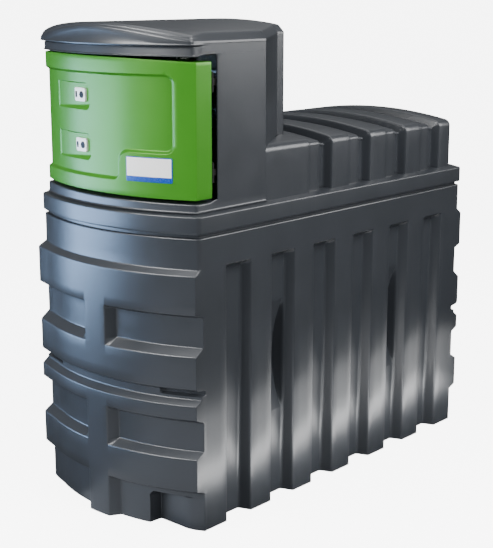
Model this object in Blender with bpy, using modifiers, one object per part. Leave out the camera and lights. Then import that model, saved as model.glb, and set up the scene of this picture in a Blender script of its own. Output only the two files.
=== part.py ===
"""Bunded diesel dispensing tank: a ribbed outer tub with bowed ends, a sealed inner tank, a ribbed
lid with a cabinet on it, and a lockable bowed door in front of the pump, meter and filter.

Metres, +Z up. X runs across the tank, the door looks towards -Y, and the origin is on the ground
under the middle of the tub.
"""
import math

import bmesh
import bpy
from mathutils import Matrix, Vector

# Clearance between pieces that touch, and the wall of a moulding
GAP = 0.0003
WALL = 0.008

# Plan of the tub: half width, where its straight sides end, and how far its bowed ends reach
TUB_HALF = 0.4245
TUB_CORNER = 0.850
TUB_APEX = 0.956
TUB_TOP = 1.115

# How far the cutters reach beyond the part
CUT_BOTTOM = -0.060
CUT_FOOT = 1.100
CUT_TOP = 1.950
CUT_FRONT = -1.100
CUT_HALF = 0.600
CUT_MARGIN = 0.020
BORE_CUT = 0.200

# The raised figure on both ends: bands across it and a post up its middle
BANDS = ((0.153, 0.304), (0.432, 0.512), (0.533, 0.696), (0.826, 0.994))
BAND_END = 0.412
POST_HALF = 0.065
FIGURE_EDGE = 0.012
FIGURE_RISE = 0.024
WINDOW_EDGE = 0.008
WINDOW_DEPTH = 0.016
ARC_COLUMNS = 5

# The grooves between the ribs of the long sides
GROOVE_COUNT = 6
GROOVE_PITCH = 0.2566
GROOVE_HALF = 0.0685
GROOVE_TOP = 1.000
GROOVE_EDGE = 0.020
GROOVE_DEPTH_TOP = 0.043
GROOVE_DEPTH_GROUND = 0.056
SCOOPED_GROOVES = (1, 4)
SCOOP_HEIGHT = 0.575
SCOOP_HALF_LENGTH = 0.225
SCOOP_DEPTH = 0.050

# Flat pockets in the foot of both ends
POCKET_FACE = 0.859
POCKET_INNER = 0.215
POCKET_OUTER = 0.400
POCKET_TOP = 0.130

# The tub's mouth has an inward flange that the lid stands on
FLANGE = 0.045
FLANGE_THICK = 0.010

# Inner tank
INNER_HALF = 0.300
INNER_CORNER = 0.820
INNER_APEX = 0.870
INNER_TOP = 1.095
INNER_SHOULDER = 0.040
INNER_BOTTOM_INSET = 0.020
NECK_SUNK = 0.030
NECK_X = -0.245
NECK_Y = -0.560
NECK_RADIUS = 0.050
NECK_TOP = 1.262
NECK_WALL = 0.006
NECK_PLAY = 0.002
CAP_RADIUS = 0.058
CAP_HEIGHT = 0.032

# Lid: a plinth in the tub's mouth, a proud rim, a sloping top and the ribbed deck
PLINTH_INSET = 0.012
RIM_PROUD = 0.005
RIM_BOTTOM = 1.130
RIM_TOP = 1.187
LID_TOP = 1.205
LID_TOP_INSET = 0.0195
LID_PLATE = 0.012
DECK_FOOT = 1.199
DECK_FRONT = -0.500
DECK_REAR = 0.800
DECK_REAR_EDGE = 0.014
DECK_SECTION = ((0.405, 1.375), (0.3985, 1.395), (0.383, 1.409), (0.270, 1.430), (0.135, 1.4436),
                (0.0, 1.448))
DECK_FIRST_RIB = -0.3291
DECK_RIBS = 5
INSET_DROP = 0.014
DECK_GROOVE_DROP = 0.036
# Where a rib, its lower step and the groove after it begin and end, from the start of the rib
RIB_START = 0.006
RIB_END = 0.1216
DECK_STEPS = ((0.1296, INSET_DROP), (0.1996, INSET_DROP), (0.2136, DECK_GROOVE_DROP),
              (0.2506, DECK_GROOVE_DROP))

# Cabinet on the front of the lid
CAB_HALF = 0.405
CAB_CORNER = 0.840
CAB_APEX = 0.943
CAB_WALL_FRONT = -0.732
CAB_FACET_START = -0.470
CAB_REAR_HALF = 0.300
CAB_FACET_END = -0.283
CAB_REAR_CORNER = -0.235
CAB_REAR_APEX = -0.205
CAB_FLOOR = 1.235
CAB_SILL = 1.242
CAB_INNER_REAR = -0.245
ROOF_SECTION = ((0.405, 1.800), (0.400, 1.812), (0.385, 1.824), (0.300, 1.844), (0.150, 1.859),
                (0.0, 1.864))
ROOF_THICK = 0.030
BAY_TOP = 1.757
VISOR_HALF = 0.417
VISOR_CORNER = 0.870
VISOR_APEX = 0.975
VISOR_BOTTOM = 1.795
VISOR_REAR = -0.700
VISOR_SECTION = ((0.417, 1.803), (0.360, 1.815), (0.288, 1.828), (0.211, 1.840), (0.100, 1.853),
                 (0.0, 1.858))

# Door
DOOR_BOTTOM = 1.255
DOOR_TOP = 1.750
DOOR_APEX = 0.945
DOOR_REAR = -0.760
DOOR_SKIN = 0.032
DOOR_LEFT_SKIN = 0.020
DOOR_COLUMNS = (0.345, 0.285, 0.225, 0.165, 0.120, 0.045)
STEP_COLUMN = 0.120
DOOR_PANEL_RIGHT = 0.336
DOOR_PANEL_BOTTOM = 1.311
DOOR_PANEL_STEP = 1.415
DOOR_PANEL_TOP = 1.685
DOOR_PANEL_DEPTH = 0.012
DOOR_PANEL_EDGE = 0.008

# Finger pockets in the door's panel, each with a lock at its right-hand end
FINGER_LEFT = -0.262
FINGER_RIGHT = -0.045
FINGER_HALF_HEIGHT = 0.046
FINGER_DEPTH = 0.010
FINGER_HEIGHTS = (1.411, 1.598)

# Hinges inside the right-hand gap between the door and the cabinet
HINGE_X = 0.398
HINGE_Y = -0.7525
HINGE_HEIGHTS = (1.340, 1.660)
BARREL_RADIUS = 0.006
PIN_RADIUS = 0.003
KNUCKLE = 0.024
LEAF_THICK = 0.002
LEAF_DEPTH = 0.058
BARREL_CLEAR = 0.0005

# Locks and label plate on the door
LOCK_LEFT = -0.122
LOCK_RIGHT = -0.046
LOCK_HEIGHTS = (1.420, 1.602)
LOCK_HALF_HEIGHT = 0.0235
LOCK_THICK = 0.008
LOCK_BARREL_X = -0.075
LOCK_BARREL_RADIUS = 0.009
LOCK_BARREL_PROUD = 0.003
LABEL_LEFT = 0.145
LABEL_RIGHT = 0.325
LABEL_BOTTOM = 1.307
LABEL_TOP = 1.396
LABEL_THICK = 0.002

# Fittings inside the cabinet, on a board at its rear wall
BOARD_HALF = 0.275
BOARD_BOTTOM = 1.300
BOARD_TOP = 1.740
BOARD_THICK = 0.006
FEED_Y = -0.330
FEED_Z = 1.578
FEED_PIPE_RADIUS = 0.017
INLET_PIPE_RADIUS = 0.014
SUCTION_X = -0.255
FILTER_X = -0.160
FILTER_LOW = (-0.205, -0.375, 1.555)
FILTER_HIGH = (-0.115, -0.285, 1.600)
BOWL_RADIUS = 0.042
BOWL_BOTTOM = 1.410
PUMP_LOW = (-0.065, -0.395, 1.440)
PUMP_HIGH = (0.045, -0.285, 1.600)
BRACKET_INSET = 0.012
MOTOR_Y = -0.340
MOTOR_Z = 1.520
MOTOR_RADIUS = 0.052
MOTOR_LENGTH = 0.150
OUTLET_X = -0.010
OUTLET_RADIUS = 0.0125
ELBOW_RADIUS = 0.030
METER_X = 0.155
METER_Z = 1.660
METER_FRONT = -0.400
METER_REAR = -0.300
METER_RADIUS = 0.055
METER_FOOT_RADIUS = 0.020
TAIL_X = 0.250
TAIL_BOTTOM = 1.595
GAUGE_X = -0.200
GAUGE_Z = 1.685
GAUGE_RADIUS = 0.042
GAUGE_DEPTH = 0.030
SWITCH_LOW = (0.205, -0.320, 1.420)
SWITCH_HIGH_X = 0.270
SWITCH_HIGH_Z = 1.540
HOLSTER_Y = -0.590
HOLSTER_Z = 1.500
HOLSTER_HALF_DEPTH = 0.070
HOLSTER_HALF_HEIGHT = 0.080
HOLSTER_PLATE = 0.005
HOLSTER_RADIUS = 0.026
HOLSTER_BORE = 0.018
HOLSTER_REACH = 0.030
HOLSTER_LENGTH = 0.060


def make_collection(name):
    collection = bpy.data.collections.new(name)
    bpy.context.scene.collection.children.link(collection)
    return collection


for old in list(bpy.data.objects):
    bpy.data.objects.remove(old, do_unlink=True)
PARTS = make_collection("diesel_tank")
CUTTERS = make_collection("cutters")


def make_material(name, colour, roughness, metallic=0.0):
    material = bpy.data.materials.new(name)
    material.use_nodes = True
    shader = material.node_tree.nodes["Principled BSDF"]
    shader.inputs["Base Color"].default_value = (*colour, 1.0)
    shader.inputs["Roughness"].default_value = roughness
    shader.inputs["Metallic"].default_value = metallic
    return material


GREY_PLASTIC = make_material("grey_polyethylene", (0.085, 0.092, 0.105), 0.45)
NATURAL_PLASTIC = make_material("natural_polyethylene", (0.55, 0.55, 0.50), 0.5)
GREEN_PLASTIC = make_material("green_polyethylene", (0.085, 0.30, 0.03), 0.4)
WHITE_PLASTIC = make_material("white_plastic", (0.85, 0.85, 0.84), 0.35)
BLACK_PLASTIC = make_material("black_plastic", (0.02, 0.02, 0.02), 0.4)
LABEL_FILM = make_material("label_film", (0.85, 0.86, 0.88), 0.3)
PLATED_STEEL = make_material("plated_steel", (0.55, 0.55, 0.53), 0.35, 1.0)
PAINTED_IRON = make_material("painted_iron", (0.04, 0.045, 0.05), 0.4)
CAST_ALUMINIUM = make_material("cast_aluminium", (0.50, 0.50, 0.50), 0.45, 1.0)
CLEAR_BOWL = make_material("filter_bowl_plastic", (0.75, 0.68, 0.45), 0.15)


def add_object(name, bm, material=None, smooth_angle=None):
    """Turns a bmesh into a named object: a part where it has a material, or else a cutter."""
    bmesh.ops.recalc_face_normals(bm, faces=bm.faces)
    mesh = bpy.data.meshes.new(name)
    bm.to_mesh(mesh)
    bm.free()
    obj = bpy.data.objects.new(name, mesh)
    if material is None:
        CUTTERS.objects.link(obj)
        obj.hide_render = True
        obj.display_type = "WIRE"
    else:
        PARTS.objects.link(obj)
        mesh.materials.append(material)
    if smooth_angle is not None:
        mesh.shade_smooth()
        mesh.set_sharp_from_angle(angle=math.radians(smooth_angle))
    return obj


def combine(obj, other, operation):
    """Adds a Boolean modifier that cuts, joins or intersects obj with other."""
    modifier = obj.modifiers.new(other.name, "BOOLEAN")
    modifier.operation = operation
    modifier.solver = "EXACT"
    modifier.object = other
    return obj


def bevel(obj, width, segments=1, angle=40):
    modifier = obj.modifiers.new("edges", "BEVEL")
    modifier.width = width
    modifier.segments = segments
    modifier.limit_method = "ANGLE"
    modifier.angle_limit = math.radians(angle)
    return obj


def stack_levels(levels, turn=None):
    """Solid through levels of like outlines: the last face is extruded and laid on the next outline.

    Each level is a height and its points. turn maps a point and its height to x, y and z.
    """
    place = turn or (lambda point, height: (point[0], point[1], height))
    bm = bmesh.new()
    height, points = levels[0]
    first = face = bm.faces.new([bm.verts.new(place(point, height)) for point in points])
    for next_height, next_points in levels[1:]:
        homes = [Vector(place(point, height)) for point in points]
        grown = bmesh.ops.extrude_face_region(bm, geom=[face])["geom"]
        if face is not first:
            bmesh.ops.delete(bm, geom=[face], context="FACES_ONLY")
        face = next(item for item in grown if isinstance(item, bmesh.types.BMFace))
        for vert in face.verts:
            index = min(range(len(homes)), key=lambda i: (homes[i] - vert.co).length_squared)
            vert.co = place(next_points[index], next_height)
        height, points = next_height, next_points
    return bm


def along_y(point, height):
    """Places a point of an upright section (x, z) at a distance along Y."""
    return point[0], height, point[1]


def prism(points, bottom, top, turn=None):
    return stack_levels([(bottom, points), (top, points)], turn)


def box(low, high):
    bm = bmesh.new()
    centre = [(a + b) / 2 for a, b in zip(low, high)]
    size = [b - a for a, b in zip(low, high)]
    matrix = Matrix.Translation(centre) @ Matrix.Diagonal((*size, 1.0))
    bmesh.ops.create_cube(bm, size=1.0, matrix=matrix)
    return bm


def cylinder(centre, radius, length, axis="Z", sides=24):
    turns = {"X": Matrix.Rotation(math.pi / 2, 4, "Y"), "Y": Matrix.Rotation(math.pi / 2, 4, "X"),
             "Z": Matrix.Identity(4)}
    bm = bmesh.new()
    bmesh.ops.create_cone(bm, cap_ends=True, segments=sides, radius1=radius, radius2=radius,
                          depth=length, matrix=Matrix.Translation(centre) @ turns[axis])
    return bm


def tube(name, path, radius, material):
    """Pipe along a path: a curve with a round bevel and closed ends."""
    curve = bpy.data.curves.new(name, "CURVE")
    curve.dimensions = "3D"
    curve.bevel_depth = radius
    curve.bevel_resolution = 3
    curve.use_fill_caps = True
    spline = curve.splines.new("POLY")
    spline.points.add(len(path) - 1)
    for point, place in zip(spline.points, path):
        point.co = (*place, 1.0)
    curve.materials.append(material)
    obj = bpy.data.objects.new(name, curve)
    PARTS.objects.link(obj)
    obj.modifiers.new("caps", "WELD").merge_threshold = GAP / 3


def elbow(before, corner, after, radius=ELBOW_RADIUS, steps=5):
    """Points of a path that turns a right-angled corner on an arc."""
    corner = Vector(corner)
    start = (Vector(before) - corner).normalized() * radius
    end = (Vector(after) - corner).normalized() * radius
    arc = []
    for step in range(steps + 1):
        turn = math.radians(90) * step / steps
        arc.append(corner + start * (1 - math.sin(turn)) + end * (1 - math.cos(turn)))
    return [before, *arc, after]


def gather(meshes):
    """Joins bmeshes that don't touch into one."""
    joined = bmesh.new()
    for bm in meshes:
        carrier = bpy.data.meshes.new("carrier")
        bm.to_mesh(carrier)
        bm.free()
        joined.from_mesh(carrier)
        bpy.data.meshes.remove(carrier)
    return joined


def bow(x, half, corner, apex):
    """Distance from the middle to a bowed end at x: an arc through its corners and its apex."""
    sag = apex - corner
    radius = (half * half + sag * sag) / (2 * sag)
    return apex - radius + math.sqrt(radius * radius - x * x)


def bowed_plan(half, corner, apex, columns, side_lines=()):
    """Plan with straight sides and bowed ends, with points at the given columns and side lines."""
    xs = sorted({-half, half, *columns, *(-x for x in columns)})
    front = [(x, -bow(x, half, corner, apex)) for x in xs]
    right = [(half, y) for y in sorted(side_lines)]
    rear = [(x, -y) for x, y in reversed(front)]
    left = [(-half, y) for y in sorted(side_lines, reverse=True)]
    return front + right + rear + left


def even_columns(half, count):
    return [half * step / count for step in range(count)]


def bowed_front(half, corner, apex, columns=6):
    """Points of a bowed front from its left corner to its right one."""
    xs = [half * step / columns for step in range(-columns, columns + 1)]
    return [(x, -bow(x, half, corner, apex)) for x in xs]


def groove_centres():
    return [(index - (GROOVE_COUNT - 1) / 2) * GROOVE_PITCH for index in range(GROOVE_COUNT)]


def groove_depth(height):
    """Depth of a groove's floor, which falls back a little towards the ground."""
    slope = (GROOVE_DEPTH_GROUND - GROOVE_DEPTH_TOP) / GROOVE_TOP
    return GROOVE_DEPTH_TOP + slope * (GROOVE_TOP - height)


def tub_solid(inset):
    """The tub's outer form, or with an inset of the wall the form of its hollow."""
    end = BAND_END - inset
    post = POST_HALF - inset
    columns = [0.0] + [post + (end - post) * step / ARC_COLUMNS for step in range(ARC_COLUMNS + 1)]
    plan = bowed_plan(TUB_HALF - inset, TUB_CORNER - inset, TUB_APEX - inset, columns)
    bands = [(low + inset, high - inset) for low, high in BANDS]
    top = TUB_TOP if inset == 0 else TUB_TOP - FLANGE_THICK
    edges = [height for band in bands for height in band]
    bm = stack_levels([(height, plan) for height in (CUT_BOTTOM, *edges, top)])
    bmesh.ops.recalc_face_normals(bm, faces=bm.faces)

    raised, windows = [], []
    channel = (bands[1][1], bands[2][0])
    for face in bm.faces:
        centre = face.calc_center_median()
        if abs(face.normal.y) < 0.5 or abs(centre.x) > end:
            continue
        banded = any(low < centre.z < high for low, high in bands)
        in_channel = channel[0] < centre.z < channel[1]
        posted = abs(centre.x) < post and centre.z < bands[3][0] and not in_channel
        if banded or posted:
            raised.append(face)
        elif centre.z < bands[3][0]:
            windows.append(face)
    bmesh.ops.inset_region(bm, faces=raised, use_boundary=True, use_even_offset=True,
                           thickness=FIGURE_EDGE, depth=FIGURE_RISE)
    bmesh.ops.inset_region(bm, faces=windows, use_boundary=True, use_even_offset=True,
                           thickness=WINDOW_EDGE, depth=-WINDOW_DEPTH)
    everything = bm.verts[:] + bm.edges[:] + bm.faces[:]
    bmesh.ops.bisect_plane(bm, geom=everything, plane_co=(0, 0, inset), plane_no=(0, 0, 1),
                           clear_inner=True)
    bmesh.ops.holes_fill(bm, edges=[edge for edge in bm.edges if edge.is_boundary])
    bmesh.ops.dissolve_limit(bm, angle_limit=math.radians(0.2), verts=bm.verts, edges=bm.edges)
    return bm


def groove_cuts(inset):
    """Tapered cutters for the grooves between the ribs, open to the ground."""
    slope = GROOVE_EDGE / GROOVE_DEPTH_TOP
    cuts = []
    for side in (-1, 1):
        for y in groove_centres():
            levels = []
            for widen, on_floor in ((slope * CUT_MARGIN, False), (-GROOVE_EDGE, True)):
                half = GROOVE_HALF + inset + widen
                top = GROOVE_TOP + inset + widen
                outline = [(y - half, CUT_BOTTOM), (y + half, CUT_BOTTOM), (y + half, top),
                           (y - half, top)]
                levels.append((on_floor, outline))

            def place(point, on_floor):
                reach = TUB_HALF - groove_depth(point[1]) if on_floor else TUB_HALF + CUT_MARGIN
                return side * (reach - inset), point[0], point[1]

            cuts.append(stack_levels(levels, place))
    return gather(cuts)


def scoop_and_pocket_cuts(inset):
    """Cutters for the scoops in two grooves of each side, and for the pockets in both ends."""
    radius = (SCOOP_HALF_LENGTH ** 2 + SCOOP_DEPTH ** 2) / (2 * SCOOP_DEPTH)
    centre_x = TUB_HALF - groove_depth(SCOOP_HEIGHT) - SCOOP_DEPTH + radius
    width = 2 * (GROOVE_HALF - GROOVE_EDGE + inset)
    cuts = []
    for side in (-1, 1):
        for index in SCOOPED_GROOVES:
            centre = (side * centre_x, groove_centres()[index], SCOOP_HEIGHT)
            cuts.append(cylinder(centre, radius + inset, width, "Y", 72))
        for end in (-1, 1):
            low_x, high_x = sorted((side * (POCKET_INNER - inset), side * (POCKET_OUTER + inset)))
            low_y, high_y = sorted((end * (POCKET_FACE - inset), end * 1.1))
            cuts.append(box((low_x, low_y, CUT_BOTTOM), (high_x, high_y, POCKET_TOP + inset)))
    return gather(cuts)


def tub_plan(inset):
    return bowed_plan(TUB_HALF - inset, TUB_CORNER - inset, TUB_APEX - inset,
                      even_columns(TUB_HALF - inset, 6))


def make_bund():
    hollow = add_object("bund_hollow", tub_solid(WALL))
    combine(hollow, add_object("hollow_grooves", groove_cuts(WALL)), "DIFFERENCE")
    combine(hollow, add_object("hollow_scoops", scoop_and_pocket_cuts(WALL)), "DIFFERENCE")
    mouth = add_object("bund_mouth", prism(tub_plan(FLANGE), TUB_TOP - FLANGE, TUB_TOP + FLANGE))
    combine(hollow, mouth, "UNION")
    bund = add_object("bund", tub_solid(0.0), GREY_PLASTIC)
    combine(bund, add_object("bund_grooves", groove_cuts(0.0)), "DIFFERENCE")
    combine(bund, add_object("bund_scoops", scoop_and_pocket_cuts(0.0)), "DIFFERENCE")
    combine(bund, hollow, "DIFFERENCE")


def make_inner_tank():
    def plan(inset):
        return bowed_plan(INNER_HALF - inset, INNER_CORNER - inset, INNER_APEX - inset,
                          even_columns(INNER_HALF - inset, 3))

    bottom = WALL + GAP
    curb, shoulder = bottom + INNER_SHOULDER, INNER_TOP - INNER_SHOULDER
    levels = [(bottom, plan(INNER_BOTTOM_INSET)), (curb, plan(0.0)), (shoulder, plan(0.0)),
              (INNER_TOP, plan(INNER_SHOULDER))]
    hollow_levels = [(bottom + WALL, plan(INNER_BOTTOM_INSET + WALL)), (curb, plan(WALL)),
                     (shoulder, plan(WALL)), (INNER_TOP - WALL, plan(INNER_SHOULDER + WALL / 2))]
    tank = add_object("inner_tank", stack_levels(levels), NATURAL_PLASTIC)
    neck_length = NECK_TOP - INNER_TOP + NECK_SUNK
    neck_centre = (NECK_X, NECK_Y, NECK_TOP - neck_length / 2)
    combine(tank, add_object("neck", cylinder(neck_centre, NECK_RADIUS, neck_length)), "UNION")
    combine(tank, add_object("inner_hollow", stack_levels(hollow_levels)), "DIFFERENCE")
    bore = cylinder((NECK_X, NECK_Y, NECK_TOP), NECK_RADIUS - NECK_WALL, 2 * neck_length)
    combine(tank, add_object("neck_bore", bore), "DIFFERENCE")


def full_section(half_section, side_drop=0.0, top_drop=0.0, foot=DECK_FOOT):
    """Upright section of a roof or deck: both sides, the shoulders and the arch between them."""
    half = [(x - side_drop * x / half_section[0][0], z - top_drop) for x, z in half_section]
    right = [(half[0][0], foot)] + half
    left = [(-x, z) for x, z in reversed(right[:-1])]
    return right + left


def deck_stations():
    """Distances along the deck with the drop of its section there: rib, lower step, groove."""
    stations = [(DECK_FRONT, 0.0)]
    for index in range(DECK_RIBS):
        start = DECK_FIRST_RIB + index * GROOVE_PITCH
        if index:
            stations.append((start + RIB_START, 0.0))
        if index < DECK_RIBS - 1:
            stations.append((start + RIB_END, 0.0))
            stations += [(start + along, drop) for along, drop in DECK_STEPS]
    return stations + [(DECK_REAR - DECK_REAR_EDGE, 0.0), (DECK_REAR, DECK_REAR_EDGE)]


def cabinet_plan(grow=0.0):
    """Plan of the cabinet: bowed front, straight sides, slanted facets, and a narrower rear."""
    right = [(CAB_HALF + grow, CAB_FACET_START), (CAB_REAR_HALF + grow, CAB_FACET_END),
             (CAB_REAR_HALF + grow, CAB_REAR_CORNER + grow)]
    rear = [(x, bow(x, CAB_REAR_HALF, CAB_REAR_CORNER, CAB_REAR_APEX) + grow)
            for x in (CAB_REAR_HALF / 2, 0.0, -CAB_REAR_HALF / 2)]
    left = [(-x, y) for x, y in reversed(right)]
    return bowed_front(CAB_HALF, CAB_CORNER, CAB_APEX) + right + rear + left


def make_lid():
    levels = [(TUB_TOP + GAP, tub_plan(PLINTH_INSET)), (RIM_BOTTOM, tub_plan(PLINTH_INSET)),
              (RIM_BOTTOM, tub_plan(-RIM_PROUD)), (RIM_TOP, tub_plan(-RIM_PROUD)),
              (LID_TOP, tub_plan(LID_TOP_INSET))]
    lid = add_object("deck_lid", stack_levels(levels), GREY_PLASTIC)
    stations = [(y, full_section(DECK_SECTION, drop, drop)) for y, drop in deck_stations()]
    combine(lid, add_object("deck", stack_levels(stations, along_y)), "UNION")
    under = prism(tub_plan(FLANGE), CUT_FOOT - FLANGE, LID_TOP - LID_PLATE)
    combine(lid, add_object("under_lid", under), "DIFFERENCE")
    drop = DECK_GROOVE_DROP + LID_PLATE
    arch = full_section(DECK_SECTION, drop, drop, CUT_FOOT)
    hollow = prism(arch, CAB_REAR_APEX + LID_PLATE, DECK_REAR - DECK_GROOVE_DROP, along_y)
    combine(lid, add_object("under_deck", hollow), "DIFFERENCE")
    seat = prism(cabinet_plan(GAP), LID_TOP, CUT_TOP)
    combine(lid, add_object("cabinet_seat", seat), "DIFFERENCE")
    hole = cylinder((NECK_X, NECK_Y, LID_TOP), NECK_RADIUS + NECK_PLAY, BORE_CUT)
    combine(lid, add_object("lid_neck_hole", hole), "DIFFERENCE")


def roof_form(name, section, drop=0.0):
    """Cutter that keeps what lies under a roof's section."""
    outline = full_section(section, 0.0, drop, CUT_FOOT)
    return add_object(name, prism(outline, CUT_FRONT, 0.0, along_y))


def make_cabinet():
    housing = add_object("cabinet", prism(cabinet_plan(), LID_TOP + GAP, CUT_TOP), GREY_PLASTIC)
    combine(housing, roof_form("roof_form", ROOF_SECTION), "INTERSECT")
    bay = box((-CUT_HALF, CUT_FRONT, CAB_SILL), (CUT_HALF, CAB_WALL_FRONT, BAY_TOP))
    combine(housing, add_object("door_bay", bay), "DIFFERENCE")
    half = CAB_HALF - WALL
    rear_half = CAB_REAR_HALF - WALL
    right = [(half, CAB_WALL_FRONT - WALL), (half, CAB_FACET_START), (rear_half, CAB_FACET_END),
             (rear_half, CAB_INNER_REAR)]
    left = [(-x, y) for x, y in reversed(right)]
    hollow = add_object("cabinet_hollow", prism(right + left, CAB_FLOOR, CUT_TOP))
    combine(hollow, roof_form("ceiling_form", ROOF_SECTION, ROOF_THICK), "INTERSECT")
    combine(housing, hollow, "DIFFERENCE")

    outline = bowed_front(VISOR_HALF, VISOR_CORNER, VISOR_APEX)
    outline += [(CAB_HALF, VISOR_REAR), (-CAB_HALF, VISOR_REAR)]
    visor = add_object("visor", prism(outline, VISOR_BOTTOM, CUT_TOP))
    combine(visor, roof_form("visor_form", VISOR_SECTION), "INTERSECT")
    combine(housing, visor, "UNION")
    hole = cylinder((NECK_X, NECK_Y, CAB_FLOOR), NECK_RADIUS + NECK_PLAY, BORE_CUT)
    combine(housing, add_object("cabinet_neck_hole", hole), "DIFFERENCE")


def door_bow(x, inset=0.0):
    return -bow(x, CAB_HALF, CAB_CORNER, DOOR_APEX) + inset


def door_columns():
    return sorted({s * x for x in (0.0, *DOOR_COLUMNS) for s in (-1, 1)} | {DOOR_PANEL_RIGHT})


def arc_strip(left, right, inner, outer, bottom, top):
    """Plate that follows the door's facets, between two distances behind its frame face."""
    lines = (-CAB_HALF, *door_columns(), CAB_HALF)

    def facet_y(x):
        low = max(line for line in lines if line <= x)
        high = min(line for line in lines if line > x)
        share = (x - low) / (high - low)
        return door_bow(low) * (1 - share) + door_bow(high) * share

    xs = [left, *(x for x in lines if left < x < right), right]
    face = [(x, facet_y(x) + outer) for x in xs]
    back = [(x, facet_y(x) + inner) for x in reversed(xs)]
    return prism(face + back, bottom, top)


def make_door():
    front = [(x, door_bow(x)) for x in (-CAB_HALF, *door_columns(), CAB_HALF)]
    plan = front + [(CAB_HALF, DOOR_REAR), (-CAB_HALF, DOOR_REAR)]
    heights = (DOOR_BOTTOM, DOOR_PANEL_BOTTOM, DOOR_PANEL_STEP, DOOR_PANEL_TOP, DOOR_TOP)
    bm = stack_levels([(height, plan) for height in heights])
    bmesh.ops.recalc_face_normals(bm, faces=bm.faces)
    panel = []
    for face in bm.faces:
        centre = face.calc_center_median()
        level = DOOR_PANEL_BOTTOM < centre.z < DOOR_PANEL_TOP
        stepped = centre.z < DOOR_PANEL_STEP and centre.x > STEP_COLUMN
        on_front = face.normal.y < -0.5 and centre.x < DOOR_PANEL_RIGHT and not stepped
        on_left = face.normal.x < -0.9
        if level and (on_front or on_left):
            panel.append(face)
    bmesh.ops.inset_region(bm, faces=panel, use_boundary=True, use_even_offset=True,
                           thickness=DOOR_PANEL_EDGE, depth=-DOOR_PANEL_DEPTH)
    bmesh.ops.dissolve_limit(bm, angle_limit=math.radians(0.2), verts=bm.verts, edges=bm.edges)
    door = add_object("door", bm, GREEN_PLASTIC)
    left, right = -CAB_HALF + DOOR_LEFT_SKIN, CAB_HALF - WALL
    inner = [(x, door_bow(x, DOOR_SKIN)) for x in (left, *door_columns()[1:-1], right)]
    inner += [(right, -CUT_HALF), (left, -CUT_HALF)]
    hollow = add_object("door_hollow", prism(inner, DOOR_BOTTOM + WALL, DOOR_TOP - WALL))
    combine(door, hollow, "DIFFERENCE")
    pockets = [arc_strip(FINGER_LEFT, FINGER_RIGHT, DOOR_PANEL_DEPTH + FINGER_DEPTH, -CUT_MARGIN,
                         height - FINGER_HALF_HEIGHT, height + FINGER_HALF_HEIGHT)
               for height in FINGER_HEIGHTS]
    combine(door, add_object("finger_pockets", gather(pockets)), "DIFFERENCE")
    return [door]


def make_door_fittings():
    seat = DOOR_PANEL_DEPTH + FINGER_DEPTH - GAP
    face = seat - LOCK_THICK
    slope = (door_bow(LOCK_RIGHT) - door_bow(LOCK_LEFT)) / (LOCK_RIGHT - LOCK_LEFT)
    barrel_y = (door_bow(LOCK_LEFT) + slope * (LOCK_BARREL_X - LOCK_LEFT)
                + face - GAP - LOCK_BARREL_PROUD / 2 - BARREL_CLEAR)
    fittings = []
    for name, height in zip(("lower", "upper"), LOCK_HEIGHTS):
        plate = arc_strip(LOCK_LEFT, LOCK_RIGHT, seat, face, height - LOCK_HALF_HEIGHT,
                          height + LOCK_HALF_HEIGHT)
        fittings.append(add_object(f"lock_plate_{name}", plate, WHITE_PLASTIC))
        barrel = cylinder((0, 0, 0), LOCK_BARREL_RADIUS, LOCK_BARREL_PROUD, "Y", 20)
        bmesh.ops.transform(barrel, verts=barrel.verts, matrix=Matrix.Translation(
            (LOCK_BARREL_X, barrel_y, height)) @ Matrix.Rotation(math.atan(slope), 4, "Z"))
        fittings.append(add_object(f"lock_barrel_{name}", barrel, BLACK_PLASTIC))
    label = arc_strip(LABEL_LEFT, LABEL_RIGHT, -GAP, -GAP - LABEL_THICK, LABEL_BOTTOM, LABEL_TOP)
    fittings.append(add_object("label_plate", label, LABEL_FILM))
    return fittings


def leaf(rear, front, low, high):
    face = CAB_HALF - WALL - GAP
    return box((face - LEAF_THICK, rear, low), (face, front, high))


def make_hinges():
    """Two butt hinges; returns the leaves on the door."""
    moving_leaves = []
    for name, middle in zip(("lower", "upper"), HINGE_HEIGHTS):
        half = 1.5 * KNUCKLE
        centre = (HINGE_X, HINGE_Y, middle)
        fixed = add_object(f"hinge_cabinet_leaf_{name}",
                           cylinder(centre, BARREL_RADIUS, KNUCKLE - 2 * GAP), PLATED_STEEL)
        wing = leaf(HINGE_Y, HINGE_Y + LEAF_DEPTH, middle - KNUCKLE / 2 + GAP,
                    middle + KNUCKLE / 2 - GAP)
        combine(fixed, add_object(f"cabinet_wing_{name}", wing), "UNION")
        ends = gather([cylinder((HINGE_X, HINGE_Y, middle + side * KNUCKLE), BARREL_RADIUS, KNUCKLE)
                       for side in (-1, 1)])
        moving = add_object(f"hinge_door_leaf_{name}", ends, PLATED_STEEL)
        wing = leaf(HINGE_Y - LEAF_DEPTH, HINGE_Y, middle - half, middle + half)
        notch = box((HINGE_X - 0.03, HINGE_Y - BARREL_RADIUS - 0.001, middle - KNUCKLE / 2),
                    (HINGE_X + 0.03, HINGE_Y + 0.03, middle + KNUCKLE / 2))
        door_wing = add_object(f"door_wing_{name}", wing)
        combine(door_wing, add_object(f"wing_notch_{name}", notch), "DIFFERENCE")
        combine(moving, door_wing, "UNION")
        bore = add_object(f"hinge_bore_{name}", cylinder(centre, PIN_RADIUS + GAP, 4 * KNUCKLE))
        combine(fixed, bore, "DIFFERENCE")
        combine(moving, bore, "DIFFERENCE")
        add_object(f"hinge_pin_{name}", cylinder(centre, PIN_RADIUS, 3 * KNUCKLE), PLATED_STEEL)
        moving_leaves.append(moving)
    return moving_leaves


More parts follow.
